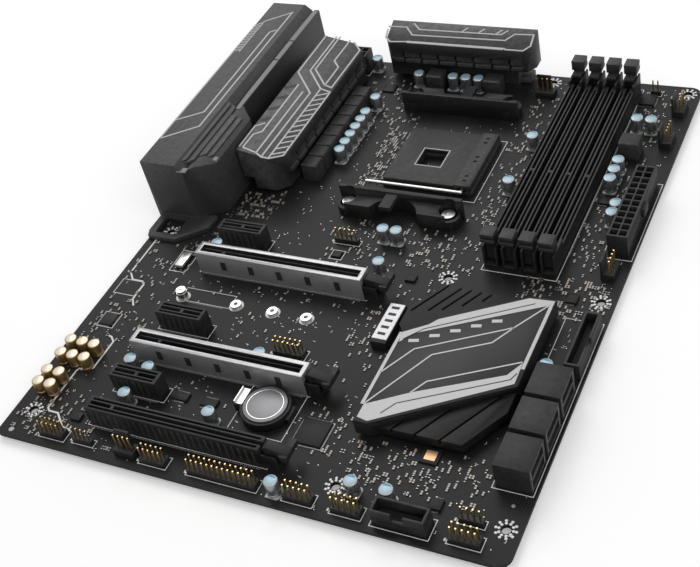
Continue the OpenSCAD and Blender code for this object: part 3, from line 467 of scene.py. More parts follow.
def gold_sleeve():
    return surface("gold_sleeve", (0.36, 0.25, 0.12), (0.50, 0.36, 0.18), rough=(0.26, 0.40), metallic=0.8,
                   Grain_Scale=4000.0)


def gold_lid():
    return surface("gold_lid", (0.60, 0.52, 0.42), (0.74, 0.66, 0.56), rough=(0.25, 0.36), metallic=0.8,
                   pattern="brushed", Stretch=(3000.0, 300.0, 300.0))


def can_metal():
    return surface("can_metal", (0.34, 0.36, 0.38), (0.48, 0.50, 0.52), rough=(0.22, 0.34), metallic=0.85,
                   pattern="brushed", bump=0.05, Stretch=(4000.0, 4000.0, 200.0))


def can_lid():
    return surface("can_lid", (0.34, 0.47, 0.53), (0.46, 0.58, 0.64), rough=(0.3, 0.42), metallic=0.2)


def can_ink():
    base = tuple(bpy.context.scene.board_colours.can_mark)
    return surface("can_ink", base, (0.16, 0.42, 0.56), rough=(0.35, 0.5))


def pale_plastic():
    return surface("pale_plastic", (0.50, 0.50, 0.48), (0.62, 0.62, 0.60), rough=(0.4, 0.55))


def choke_body():
    return surface("choke_body", (0.008, 0.008, 0.0082), (0.030, 0.030, 0.031), rough=(0.4, 0.55),
                   metallic=0.2, Grain_Scale=9000.0, wear=0.6, wear_colour=(0.2, 0.2, 0.2), bump=0.3)


def socket_plastic():
    return surface("socket_plastic", (0.014, 0.014, 0.0135), (0.026, 0.025, 0.0245), rough=(0.4, 0.55),
                   wear=0.3, wear_colour=(0.2, 0.2, 0.2))


def cell_steel():
    return surface("cell_steel", (0.16, 0.16, 0.165), (0.26, 0.26, 0.265), rough=(0.36, 0.5), metallic=0.7,
                   pattern="brushed", Stretch=(200.0, 4500.0, 200.0))


def chip_black():
    return surface("chip_black", (0.009, 0.009, 0.009), (0.018, 0.018, 0.018), rough=(0.42, 0.55),
                   bump=0.25, Grain_Scale=8000.0)


def copper_pad():
    return surface("copper_pad", (0.60, 0.33, 0.17), (0.74, 0.47, 0.28), rough=(0.3, 0.45), metallic=0.7)


def ceramic():
    return surface("ceramic_tan", (0.36, 0.28, 0.20), (0.50, 0.41, 0.31), rough=(0.4, 0.6))


def port_blue():
    return surface("port_blue", (0.03, 0.12, 0.40), (0.05, 0.17, 0.52), rough=(0.35, 0.5))


def rubber_pad():
    return surface("rubber_pad", (0.30, 0.32, 0.36), (0.40, 0.42, 0.46), rough=(0.7, 0.85), bump=0.3)


# ---------------------------------------------------------------- mesh helpers

class Shape:
    """Collects closed solids given in board millimetres, and makes one mesh of them."""

    def __init__(self):
        self.verts = []
        self.faces = []

    def add(self, verts, faces):
        base = len(self.verts)
        self.verts.extend(verts)
        self.faces.extend([base + i for i in face] for face in faces)

    def tube(self, rings):
        """Joins rings of as many points each into a closed solid."""
        n = len(rings[0])
        verts = [p for ring in rings for p in ring]
        faces = [list(range(n))[::-1], list(range(len(verts) - n, len(verts)))]
        for k in range(len(rings) - 1):
            for i in range(n):
                j = (i + 1) % n
                faces.append([k * n + i, k * n + j, (k + 1) * n + j, (k + 1) * n + i])
        self.add(verts, faces)

    def prism(self, outline, low, high):
        """An upright prism over an outline; low and high are heights or functions of x and y."""
        heights = [h if callable(h) else (lambda x, y, h=h: h) for h in (low, high)]
        self.tube([[at(x, y, h(x, y)) for x, y in outline] for h in heights])

    def box(self, x0, y0, z0, x1, y1, z1):
        self.prism([(x0, y0), (x1, y0), (x1, y1), (x0, y1)], z0, z1)

    def lathe(self, x, y, profile, sides=24):
        """A turned solid about an upright axis; profile is a list of radius and height."""
        turns = [TURN * i / sides for i in range(sides)]
        self.tube([[at(x + r * math.cos(a), y + r * math.sin(a), z) for a in turns] for r, z in profile])

    def ribbon(self, points, width, place, thick=PRINT, closed=False):
        """A flat printed line with mitred corners; place maps (a, b, height) to a point."""
        pts = [Vector(p) for p in points]
        n = len(pts)
        sides = []
        for i, p in enumerate(pts):
            before = pts[i - 1] if i or closed else None
            after = pts[(i + 1) % n] if i < n - 1 or closed else None
            d_in = (p - before).normalized() if before else (after - p).normalized()
            d_out = (after - p).normalized() if after else d_in
            miter = (d_in + d_out).normalized()
            normal = Vector((-miter.y, miter.x))
            reach = width / 2 / max(0.35, normal.dot(Vector((-d_in.y, d_in.x))))
            sides.append((p + normal * reach, p - normal * reach))
        order = list(range(n)) + ([0] if closed else [])
        for i, j in zip(order, order[1:]):
            quad = [sides[i][0], sides[i][1], sides[j][1], sides[j][0]]
            self.tube([[place(q.x, q.y, h) for q in quad] for h in (-INK_SINK, thick)])


def level(z):
    """The place function of a flat top at height z."""
    return lambda a, b, h: at(a, b, z + h)


def link_object(name, mesh):
    obj = bpy.data.objects.new(name, mesh)
    bpy.context.scene.collection.objects.link(obj)
    return obj


def outward(mesh):
    """Turns every face of a mesh of closed solids outwards."""
    bm = bmesh.new()
    bm.from_mesh(mesh)
    bmesh.ops.recalc_face_normals(bm, faces=bm.faces)
    bm.to_mesh(mesh)
    bm.free()


def baked(obj):
    """Replaces an object's mesh by its evaluated one and drops its modifiers."""
    bpy.context.view_layer.update()
    depsgraph = bpy.context.evaluated_depsgraph_get()
    mesh = bpy.data.meshes.new_from_object(obj.evaluated_get(depsgraph))
    obj.modifiers.clear()
    old = obj.data
    obj.data = mesh
    mesh.name = obj.name
    if old.users == 0:
        bpy.data.meshes.remove(old)
    return obj


def bevelled(obj, width, segments=2, angle=35):
    bevel = obj.modifiers.new("edges", "BEVEL")
    bevel.width = width * MM
    bevel.segments = segments
    bevel.limit_method = "ANGLE"
    bevel.angle_limit = math.radians(angle)
    bevel.use_clamp_overlap = True
    return baked(obj)


def piece(shape, name, material, body=MAIN, bevel=0.0, smooth=False):
    """Makes a finished object of a shape, and lets it ride on its body."""
    mesh = bpy.data.meshes.new(name)
    mesh.from_pydata(shape.verts, [], shape.faces)
    mesh.validate()
    outward(mesh)
    obj = link_object(name, mesh)
    if bevel:
        bevelled(obj, bevel)
    if smooth:
        obj.data.shade_smooth()
        obj.data.set_sharp_from_angle(angle=SHARP)
    obj.data.materials.clear()
    obj.data.materials.append(material)
    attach(obj, body)
    return obj


def softened(node, material, width=None, segments=2, cut=None):
    """A copy of a CAD node that stands for the node.

    Its edges are bevelled by at most width: short edges in the mesh hold the bevel back, so many
    edges come out thinner than asked, or stay sharp.
    """
    width = bpy.context.scene.board_sizes.edge if width is None else width
    mesh = NODES[node].data.copy()
    obj = link_object(node + "_finished", mesh)
    bm = bmesh.new()
    bm.from_mesh(mesh)
    bmesh.ops.remove_doubles(bm, verts=bm.verts, dist=2e-6)
    bmesh.ops.dissolve_limit(bm, angle_limit=math.radians(1.0), verts=bm.verts, edges=bm.edges)
    bm.to_mesh(mesh)
    bm.free()
    bevelled(obj, width, segments)
    obj.data.shade_smooth()
    obj.data.set_sharp_from_angle(angle=math.radians(40))
    obj.data.materials.clear()
    obj.data.materials.append(material)
    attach(obj, NODES[node]["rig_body"])
    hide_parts(node)
    return obj


def paint(material, *nodes):
    """Gives CAD nodes that keep their own mesh a finish."""
    for node in nodes:
        for slot in NODES[node].material_slots:
            slot.material = material


_repeater = None


def repeater():
    """Geometry nodes: one part on each point, turned by the point's own angle."""
    global _repeater
    if _repeater:
        return _repeater
    tree = bpy.data.node_groups.new("repeated_part", "GeometryNodeTree")
    faces = tree.interface
    faces.new_socket("Places", in_out="INPUT", socket_type="NodeSocketGeometry")
    faces.new_socket("Part", in_out="INPUT", socket_type="NodeSocketObject")
    faces.new_socket("Size", in_out="INPUT", socket_type="NodeSocketVector").default_value = (1, 1, 1)
    faces.new_socket("Finish", in_out="INPUT", socket_type="NodeSocketMaterial")
    faces.new_socket("Geometry", in_out="OUTPUT", socket_type="NodeSocketGeometry")
    source = tree.nodes.new("NodeGroupInput")
    sink = tree.nodes.new("NodeGroupOutput")
    part = tree.nodes.new("GeometryNodeObjectInfo")
    angle = tree.nodes.new("GeometryNodeInputNamedAttribute")
    angle.data_type = "FLOAT"
    angle.inputs["Name"].default_value = "turn"
    turned = tree.nodes.new("ShaderNodeCombineXYZ")
    placed = tree.nodes.new("GeometryNodeInstanceOnPoints")
    real = tree.nodes.new("GeometryNodeRealizeInstances")
    finish = tree.nodes.new("GeometryNodeSetMaterial")
    link = tree.links.new
    link(source.outputs["Places"], placed.inputs["Points"])
    link(source.outputs["Part"], part.inputs["Object"])
    link(part.outputs["Geometry"], placed.inputs["Instance"])
    link(angle.outputs["Attribute"], turned.inputs["Z"])
    link(turned.outputs["Vector"], placed.inputs["Rotation"])
    link(source.outputs["Size"], placed.inputs["Scale"])
    link(placed.outputs["Instances"], real.inputs["Geometry"])
    link(real.outputs["Geometry"], finish.inputs["Geometry"])
    link(source.outputs["Finish"], finish.inputs["Material"])
    link(finish.outputs["Geometry"], sink.inputs["Geometry"])
    _repeater = tree
    return tree


def repeat(name, shape, places, material, body=MAIN, size=(1, 1, 1), smooth=False, bevel=0.0):
    """Repeats a part, given round the board frame's zero, at places of x, y, z and angle."""
    origin = at(0, 0, 0)
    part_mesh = bpy.data.meshes.new(name + "_part")
    part_mesh.from_pydata([v - origin for v in shape.verts], [], shape.faces)
    outward(part_mesh)
    part = link_object(name + "_part", part_mesh)
    if bevel:
        bevelled(part, bevel, segments=1)
    if smooth:
        part.data.shade_smooth()
        part.data.set_sharp_from_angle(angle=SHARP)
    mesh = bpy.data.meshes.new(name)
    mesh.from_pydata([at(*p[:3]) for p in places], [], [])
    turn = mesh.attributes.new("turn", "FLOAT", "POINT")
    turn.data.foreach_set("value", [p[3] if len(p) > 3 else 0.0 for p in places])
    obj = link_object(name, mesh)
    modifier = obj.modifiers.new("repeat", "NODES")
    modifier.node_group = repeater()
    keys = {s.name: s.identifier for s in repeater().interface.items_tree if s.in_out == "INPUT"}
    modifier[keys["Part"]] = part
    modifier[keys["Size"]] = size
    modifier[keys["Finish"]] = material
    baked(obj)
    if not obj.data.materials:
        obj.data.materials.append(material)
    bpy.data.objects.remove(part)
    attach(obj, body)
    return obj


_tree = None


def clear_above(x, y, reach):
    """Whether the board is bare round a place."""
    global _tree
    if _tree is None:
        verts, faces = [], []
        for node, obj in NODES.items():
            base = len(verts)
            verts.extend(v.co.copy() for v in obj.data.vertices)
            faces.extend([base + i for i in p.vertices] for p in obj.data.polygons)
        _tree = BVHTree.FromPolygons(verts, faces)
    for dx, dy in ((0, 0), (reach, 0), (-reach, 0), (0, reach), (0, -reach)):
        hit = _tree.ray_cast(at(x + dx, y + dy, 60), Vector((0, 0, -1)))[0]
        if hit is None or abs(hit.z - BOARD_HIGH.z) > 0.0001:
            return False
    return True


# ---------------------------------------------------------------- stage

class BOARD_OT_stage(bpy.types.Operator):
    """Adds the floor, the soft lights and the camera"""
    bl_idname = "board.stage"
    bl_label = "Stage"

    def execute(self, context):
        scene = context.scene
        settings = scene.stage_settings
        scene.view_settings.view_transform = "Standard"
        floor_z = CAD_BOX[0].z - 0.0002
        mesh = bpy.data.meshes.new("floor")
        reach = 6.0
        mesh.from_pydata([(-reach, -reach, floor_z), (reach, -reach, floor_z), (reach, reach, floor_z),
                          (-reach, reach, floor_z)], [], [(0, 1, 2, 3)])
        floor = link_object("floor", mesh)
        paper = bpy.data.materials.new("pale_floor")
        paper.use_nodes = True
        tree = paper.node_tree
        shader = tree.nodes["Principled BSDF"]
        shader.inputs["Base Color"].default_value = (0.90, 0.90, 0.90, 1)
        shader.inputs["Roughness"].default_value = 0.9
        shader.inputs["Specular IOR Level"].default_value = 0.0
        shader.inputs["Emission Color"].default_value = (1, 1, 1, 1)
        path = tree.nodes.new("ShaderNodeLightPath")
        lift = tree.nodes.new("ShaderNodeMath")
        lift.operation = "MULTIPLY"
        lift.inputs[1].default_value = 0.30
        tree.links.new(path.outputs["Is Camera Ray"], lift.inputs[0])
        tree.links.new(lift.outputs["Value"], shader.inputs["Emission Strength"])
        mesh.materials.append(paper)
        world = bpy.data.worlds.new("soft_room")
        scene.world = world
        world.use_nodes = True
        nodes, link = world.node_tree.nodes, world.node_tree.links.new
        path = nodes.new("ShaderNodeLightPath")
        seen = nodes.new("ShaderNodeMath")
        seen.operation = "MAXIMUM"
        clear = nodes.new("ShaderNodeMath")
        clear.operation = "MAXIMUM"
        level_of = nodes.new("ShaderNodeMapRange")
        level_of.inputs["To Min"].default_value = 0.50
        link(path.outputs["Is Camera Ray"], seen.inputs[0])
        link(path.outputs["Is Glossy Ray"], seen.inputs[1])
        link(seen.outputs["Value"], clear.inputs[0])
        link(path.outputs["Is Transmission Ray"], clear.inputs[1])
        link(clear.outputs["Value"], level_of.inputs["Value"])
        nodes["Background"].inputs["Color"].default_value = (1, 1, 1, 1)
        link(level_of.outputs["Result"], nodes["Background"].inputs["Strength"])
        for name, power, size, spot in (("key", settings.key, 1.0, (-0.6, 0.9, 1.3)),
                                        ("fill", settings.fill, 0.8, (0.9, -0.5, 0.9))):
            lamp = bpy.data.lights.new(name, "AREA")
            lamp.energy = power
            lamp.size = size
            holder = link_object(name, lamp)
            holder.location = spot
            holder.rotation_euler = (-Vector(spot)).to_track_quat("-Z", "Y").to_euler()
        camera = bpy.data.cameras.new("camera")
        camera.sensor_width = 36
        camera.lens = settings.lens
        camera.clip_start = 0.01
        holder = link_object("camera", camera)
        holder.location = (0.247201, -0.377970, 0.384085)
        holder.rotation_euler = tuple(math.radians(a) for a in (47.50469, 11.23984, 24.84573))
        scene.camera = holder
        return {"FINISHED"}


# ---------------------------------------------------------------- board

# middles of the chassis holes
HOLES = [(x, y) for y in (16.51, 140.97) for x in (10.16, 165.1, 237.49)] + [
    (33.02, 298.45), (165.1, 298.45), (237.49, 298.45)]


def bump_of(radius, height, sides=10):
    """A low rounded dot of solder."""
    shape = Shape()
    shape.lathe(0, 0, [(radius, -SOLDER_SINK), (radius, height * 0.5), (radius * 0.6, height)], sides)
    return shape


class BOARD_OT_plate(bpy.types.Operator):
    """Finishes the board: solder mask, solder dots round the holes, pads and tails"""
    bl_idname = "board.plate"
    bl_label = "Board and solder"

    def execute(self, context):
        paint(solder_mask(), "pcb")
        paint(tin(), "solder_tails")
        ring = []
        for hx, hy in HOLES:
            for k in range(10):
                a = TURN * k / 10
                for reach in (2.9, 4.1):
                    ring.append((hx + reach * math.cos(a), hy + reach * math.sin(a), 0))
        repeat("hole_solder_dots", bump_of(0.62, 0.22), ring, bright_solder(), smooth=True)
        rows = []
        for n in range(7):
            y = slot_y(n) - 4.9
            end = 131 if n in LONG_SLOTS else 67
            rows += [(44 + 1.0 * k, y, 0) for k in range(int(end - 44))]
        rows += [(MEMORY_FIRST + 3 * MEMORY_PITCH + 4.9, 167 + 1.0 * k, 0) for k in range(116)]
        repeat("slot_solder_dots", bump_of(0.3, 0.15, 6), rows, tin(), smooth=True)
        pads = Shape()
        for x, y, r in ((72.5, 100, 3.7), (92.5, 100, 3.7), (110.5, 100, 3.7), (42.5, 99.5, 3.7),
                        (6.5, 3.8, 1.3), (236.5, 27.5, 0.8)):
            pads.lathe(x, y, [(r, -SOLDER_SINK), (r, 0.05), (r - 0.05, 0.07)], 32)
        piece(pads, "plated_pads", tin())
        return {"FINISHED"}


# each pin header: low corner, columns and rows
HEADERS = [(22.5, 4.6, 5, 2), (40.4, 5.6, 4, 1), (77, 4.2, 5, 2), (101, 4.6, 13, 2), (147, 4.4, 5, 2),
           (168.6, 4.4, 5, 2), (218.4, 4.8, 5, 2), (219, 14.6, 4, 1), (105.4, 75.8, 6, 2),
           (100.6, 152.6, 5, 1), (218.74, 295.2, 2, 1)]


def outline_of(x0, y0, x1, y1):
    """The corners of a rectangle."""
    return [(x0, y0), (x1, y0), (x1, y1), (x0, y1)]


class BOARD_OT_legend(bpy.types.Operator):
    """Prints the white legend: outlines of parts and the audio separation line, with no lettering"""
    bl_idname = "board.legend"
    bl_label = "Printed legend"

    def execute(self, context):
        width = context.scene.board_sizes.silk_line
        silk = Shape()
        top = level(0.0)
        thick = Shape()
        thick.ribbon([(5, 135), (5, 109), (9, 104.5), (15, 104.5), (17, 102.5), (17, 92), (20, 88)], 0.9, top)
        thick.ribbon([(19, 67), (21, 66.5), (23.7, 64), (23.7, 46.5), (21, 44.5), (17, 44.5), (16.3, 43),
                      (16.3, 19.5), (18, 18), (23, 18), (30, 11.5), (35, 11)], 0.9, top)
        piece(thick, "audio_line", legend_ink())
        for x, y, cols, rows in HEADERS:
            around = outline_of(x - 0.7, y - 0.7, x + cols * PIN_PITCH + 0.7, y + rows * PIN_PITCH + 0.7)
            silk.ribbon(around, width, top, closed=True)
            silk.box(x - 2.0, y + 0.2, 0, x - 1.2, y + 1.6, PRINT)
        silk.ribbon([(104, 194.4), (157.9, 194.4), (157.9, 244.1), (150, 244.1)], width, top)
        silk.ribbon(outline_of(178.2, 149.6, 214.4, 299.0), width, top, closed=True)
        for n in range(7):
            y = slot_y(n)
            end = 133.5 if n in LONG_SLOTS else 69.5
            silk.ribbon(outline_of(41.4, y - 4.2, end, y + 4.2), width * 0.8, top, closed=True)
        for x, y, w, l in ((4, 94, 12.5, 10), (137, 31.5, 14, 14.6), (102.4, 141, 6.6, 6.2),
                           (8.4, 71.6, 9.4, 9.6),
                           (225.5, 33.4, 17, 95), (229.6, 169.4, 13.6, 55.4), (37.6, 290.2, 20, 12),
                           (24.6, 115, 9.4, 15), (105.5, 31, 27, 27), (186, 3, 25, 10)):
            silk.ribbon(outline_of(x, y, x + w, y + l), width, top, closed=True)
        piece(silk, "legend_outlines", legend_ink())
        rng = random.Random(context.scene.board_sizes.seed)
        ticks = []
        for _ in range(500):
            x, y = rng.uniform(3, BOARD_W - 3), rng.uniform(3, BOARD_L - 3)
            if clear_above(x, y, 1.3):
                ticks.append((x, y, 0, rng.choice((0, math.pi / 2))))
        mark = Shape()
        mark.box(-0.7, -0.12, 0, 0.7, 0.12, PRINT)
        mark.box(-0.7, -0.12, 0, -0.46, 0.5, PRINT)
        repeat("legend_ticks", mark, ticks, legend_ink())
        return {"FINISHED"}


# areas that hold small parts: low x, low y, high x, high y
CLUSTERS = [(36, 160, 60, 190), (92, 194, 104, 245), (214, 150, 232, 300), (44, 20, 130, 150),
            (134, 30, 165, 150), (165, 20, 225, 45), (4, 60, 42, 150), (160, 180, 178, 290),
            (96, 145, 176, 172), (4, 4, 60, 30), (60, 246, 104, 290), (200, 128, 243, 150)]


class BOARD_OT_small_parts(bpy.types.Operator):
    """Scatters the small soldered parts and vias on the bare areas"""
    bl_idname = "board.small_parts"
    bl_label = "Small parts"

    def execute(self, context):
        rng = random.Random(context.scene.board_sizes.seed + 1)
        kinds = {"capacitor": [], "resistor": []}
        taken = set()
        for _ in range(context.scene.board_sizes.small_parts):
            x0, y0, x1, y1 = rng.choice(CLUSTERS)
            x = round(rng.uniform(x0, x1) / 1.3) * 1.3
            y = round(rng.uniform(y0, y1) / 2.1) * 2.1
            kind = rng.choice(("capacitor", "capacitor", "resistor"))
            if (x, y) in taken or not 2 < x < BOARD_W - 2 or not 2 < y < BOARD_L - 2:
                continue
            taken.add((x, y))
            if clear_above(x, y, 1.4):
                kinds[kind].append((x, y, 0, math.pi / 2))
        for kind, material in (("capacitor", ceramic()), ("resistor", chip_black())):
            body, ends = Shape(), Shape()
            tall = 0.55 if kind == "capacitor" else 0.4
            body.box(-0.5, -0.4, 0.02, 0.5, 0.4, tall)
            for s in (-1, 1):
                ends.box(s * 0.65 - 0.2, -0.42, -SOLDER_SINK, s * 0.65 + 0.2, 0.42, tall + 0.03)
            repeat("small_" + kind + "_bodies", body, kinds[kind], material)
            repeat("small_" + kind + "_ends", ends, kinds[kind], tin())
        vias = []
        for _ in range(900):
            x, y = rng.uniform(3, BOARD_W - 3), rng.uniform(3, BOARD_L - 3)
            if clear_above(x, y, 0.6):
                vias.append((x, y, 0))
        repeat("vias", bump_of(0.24, 0.05, 6), vias, nickel())
        return {"FINISHED"}


# ---------------------------------------------------------------- cover and heatsinks

BAND = 0.08             # thickness of the silver bands on the chipset plate
SIGHT = Vector((367.12, -225.57, 380.49))   # marks on leaning tops are set out from here on a level plane


def leaning(z_of, plane):
    """The place function of marks given on a level plane, moved onto a leaning top."""
    def place(a, b, h):
        x, y = a, b
        for _ in range(4):
            k = (SIGHT.z - z_of(x, y)) / (SIGHT.z - plane)
            x, y = SIGHT.x + (a - SIGHT.x) * k, SIGHT.y + (b - SIGHT.y) * k
        return at(x, y, z_of(x, y) + h)
    return place


def marks(name, lines, width, place, material, thick=0.12):
    """Makes one piece of several printed lines."""
    shape = Shape()
    for line in lines:
        shape.ribbon(line, width, place, thick)
    return piece(shape, name, material)


class BOARD_OT_cover(bpy.types.Operator):
    """Finishes the rear cover: terraces, bright rail, printed lines and a painted highlight along its rear
    edge
    """
    bl_idname = "board.cover"
    bl_label = "Rear cover"

    def execute(self, context):
        width = context.scene.board_sizes.silver_line
        softened("io_cover", cover_plastic(), 0.35)
        steps = Shape()
        for k, (out, z) in enumerate(((20.5, 35.2), (23.8, 34.2))):
            steps.prism([(17.2, 156 + 1.6 * k), (out - 3, 156 + 1.6 * k), (out, 159.5 + 1.6 * k),
                         (out, 207 - 1.2 * k), (out - 2, 209 - 1.2 * k), (17.2, 209 - 1.2 * k)], 32.6, z)
        for k, (out, z) in enumerate(((27.4, 33.5), (30.8, 32.5))):
            steps.prism([(20, 165.4 + k), (out - 2, 165.4 + k), (out, 167.6 + k), (out, 200.5 - k),
                         (20, 200.5 - k)], 30.6, z)
        piece(steps, "cover_terraces", cover_plastic(), bevel=0.25)
        rail = Shape()
        for y0, y1 in ((219.5, 251.6), (252.6, 270.4), (271.4, 302)):
            rail.box(22.9, y0, 32.8, 25.85, y1, 33.4)
        piece(rail, "cover_rail", trim_grey(), bevel=0.15)
        chips = Shape()
        chips.box(18, 151.6, 32.4, 23.4, 155, 33.2)
        chips.box(31.4, 165.2, 30.2, 33.8, 168.2, 31.6)
        chips.prism([(23.4, 206), (25.8, 206), (25.8, 219.5), (22.9, 219.5)], 32.6, 33.4)
        piece(chips, "cover_trim_ends", trim_grey(), bevel=0.15)
        slot_dark = Shape()
        slot_dark.box(21.2, 271, 31.7, 22.8, 294, 32.6)
        piece(slot_dark, "cover_slot", moulded_black())
        # The line along x = -3.1 is the ladder's outer rail from y 281 to 253. From 253 to 172 it is a
        # painted highlight along the cover's rear edge. The other lines are print.
        lines = [[(0.3, 284), (13.4, 295), (13.6, 185.2), (-2.8, 172)],
                 [(12.5, 276.6), (9.3, 273.8), (9.6, 197.2), (-2.8, 188)],
                 [(-3.1, 281), (-3.1, 172)], [(0.5, 284), (0.5, 253)]]
        lines += [[(0.5, 283 - 2.7 * k), (-3.1, 280 - 2.7 * k)] for k in range(11)]
        marks("cover_lines", lines, width, level(COVER_TOP), silver_ink(), 0.02)
        return {"FINISHED"}


def bars(start, end, across, pitch):
    """Short slanted bars along a strip."""
    start, end, across = Vector(start), Vector(end), Vector(across)
    count = int((end - start).length / pitch)
    step = (end - start).normalized() * pitch
    return [[start + step * k, start + step * k + across] for k in range(count + 1)]


class BOARD_OT_power_heatsinks(bpy.types.Operator):
    """Finishes the two finned power heatsinks with printed lines and slats"""
    bl_idname = "board.power_heatsinks"
    bl_label = "Power heatsinks"

    def execute(self, context):
        width = context.scene.board_sizes.silver_line
        softened("vrm_heatsink_left", anodised(), 0.4)
        softened("vrm_heatsink_top", anodised(), 0.4)
        left = leaning(lambda x, y: 26.6 - 0.2 * (x - 35.2), 24)
        lines = [[(54, 287.8), (60.9, 280.3), (60.4, 244), (55.3, 245.9), (43.2, 259.2), (43.2, 292)],
                 [(61.6, 240), (54.6, 242.2), (40.7, 257.6), (40.9, 292)],
                 [(61.6, 240), (61.2, 184.2), (54.6, 180.6), (49.8, 180.9), (45.3, 183.7), (35.7, 186.7)],
                 [(54.7, 242), (54.2, 181)],
                 [(50.9, 289.2), (50.6, 268.4), (55.7, 262.9), (55.6, 245.6)],
                 [(49.8, 180.9), (50.4, 237.6), (34.2, 255.3), (34.2, 292)], [(45.7, 238.1), (45.3, 183.7)],
                 [(40.1, 244.2), (39.8, 200.9), (36, 198.1), (35.7, 186.7)],
                 [(37.9, 208.1), (33.4, 204.8), (33.4, 187)]]
        lines += bars((61.4, 239), (61.2, 185), (-6.4, -3.3), 4.7)
        marks("left_heatsink_lines", lines, width, left, silver_ink())
        slats = [[(33.4, 210 + 10 * k), (39.4, 213 + 10 * k)] for k in range(4)]
        marks("left_heatsink_slats", slats, 2.6, left, anodised_black(), 0.06)
        top = leaning(lambda x, y: 24 + 0.365 * (y - 289.9), 26.5)
        lines = [[(70, 301.8), (81.1, 302), (87.2, 295.2), (141.1, 296.2), (144.7, 302.4), (155.6, 303)],
                 [(83.9, 306), (89.4, 300.7), (137.2, 301.1), (140, 305.4)],
                 [(86.7, 288.8), (76.7, 287.6), (72.6, 291.6), (70.6, 299.3)],
                 [(142.8, 289.3), (144, 288.2), (153.9, 288.2), (156.6, 292.9), (155.2, 302.7)]]
        lines += [[(x, 301.5), (x + 2.4, 305.4)] for x in (114.4, 124.1, 134.2)]
        marks("top_heatsink_lines", lines, width, top, silver_ink())
        marks("top_heatsink_band", [[(86.7, 288.6), (142.8, 288.6)]], 1.8, top, silver_ink())
        return {"FINISHED"}


class BOARD_OT_chipset(bpy.types.Operator):
    """Finishes the chipset heatsink and its plate, with no wording"""
    bl_idname = "board.chipset_plate"
    bl_label = "Chipset heatsink"

    def execute(self, context):
        softened("chipset_heatsink", anodised_black(), 0.25)
        softened("chipset_badge", badge_black(), 0.12)
        paint(chip_black(), "chipset")
        top = level(span("chipset_badge")[1].z)
        silver = badge_silver()
        marks("plate_border", [[(163, 94.4), (163, 52)], [(221, 86.6), (221, 127.6)]], 1.5, top, silver)
        bands = Shape()
        bands.tube([[top(x, y, h) for x, y in ((163.2, 94.4), (164.2, 88.6), (169, 95.2), (220, 124.6),
                                               (220.6, 127.6), (210.4, 127), (176, 105.6), (173, 101.6))]
                    for h in (0, BAND)])
        bands.tube([[top(x, y, h) for x, y in ((163.8, 45), (168.9, 44), (220.4, 78.2), (220, 90.1),
                                               (215.8, 82), (180.4, 62.9), (163.8, 52))] for h in (0, BAND)])
        piece(bands, "plate_bands", silver)
        marks("plate_lines", [[(220, 124.6), (209.7, 108.4), (203.6, 97.9), (181.1, 85.1), (163.8, 52.3)],
                              [(209.7, 108.4), (172.4, 86.4), (163.6, 70.4)],
                              [(219.7, 90.4), (184.7, 70.3), (180.4, 62.9)]],
              0.7, top, silver)
        above = level(span("chipset_badge")[1].z + BAND)
        dark = [[(172.7, 49.3), (176.9, 56), (218, 79.9), (219.6, 84)],
                [(165.2, 90.6), (172, 98.6), (214, 124.4)]]
        marks("plate_grooves", dark, 0.5, above, badge_black(), 0.05)
        ladder = bars((168, 90.4), (206.9, 114.8), (4.4, 1.2), 9.2)
        marks("plate_ladder", ladder, 1.8, top, silver, 0.07)
        return {"FINISHED"}


# ---------------------------------------------------------------- processor and slots

class BOARD_OT_processor(bpy.types.Operator):
    """Finishes the processor socket, lever, cooler brackets and back plate"""
    bl_idname = "board.processor"
    bl_label = "Processor socket"

    def execute(self, context):
        softened("cpu_socket_base", socket_plastic(), 0.2)
        softened("cpu_socket_slide", socket_plastic(), 0.2)
        for node in ("cpu_bracket_lower", "cpu_bracket_upper"):
            softened(node, moulded_black(), 0.25)
        paint(nickel(), "cpu_bracket_screws", "cpu_socket_lever")
        paint(steel(), "cpu_backplate", "heatsink_screws")
        holes = []
        for i in range(39):
            for j in range(31):
                x, y = 109.6 + 1.0 * i, 203.4 + 1.15 * j
                if 118.4 < x < 135.2 and 210.4 < y < 226.8:
                    continue
                if x < 145:
                    holes.append((x, y, SOCKET_TOP))
        rim = Shape()
        rim.lathe(0, 0, [(0.3, -0.02), (0.3, 0.015), (0.1, 0.02)], 6)
        repeat("socket_pin_holes", rim, holes, chip_black(), "socket_slide")
        frame_line = Shape()
        frame_line.ribbon(outline_of(119.7, 211.7, 133.9, 225.5), 0.5, level(SOCKET_TOP), 0.08, closed=True)
        piece(frame_line, "socket_window_frame", pale_plastic(), "socket_slide")
        return {"FINISHED"}


DIMM_X = [MEMORY_FIRST + MEMORY_PITCH * i for i in range(4)]


class BOARD_OT_memory(bpy.types.Operator):
    """Finishes the memory slots and their latches, with contacts"""
    bl_idname = "board.memory"
    bl_label = "Memory slots"

    def execute(self, context):
        contact = Shape()
        contact.box(-0.12, -0.3, 0, 0.12, 0.3, 1.6)
        for i, x in enumerate(DIMM_X, 1):
            softened("dimm_slot_%d" % i, moulded_black(), 0.15)
            for end in ("near", "far"):
                softened("dimm_latch_%d_%s" % (i, end), moulded_grey(), 0.2)
        spots = [(x + s * 1.05, 167 + 0.95 * k, 6.6) for x in DIMM_X for s in (-1, 1) for k in range(122)
                 if abs(167 + 0.95 * k - MEMORY_KEY) > 1.5]
        repeat("memory_contacts", contact, spots, gold())
        return {"FINISHED"}


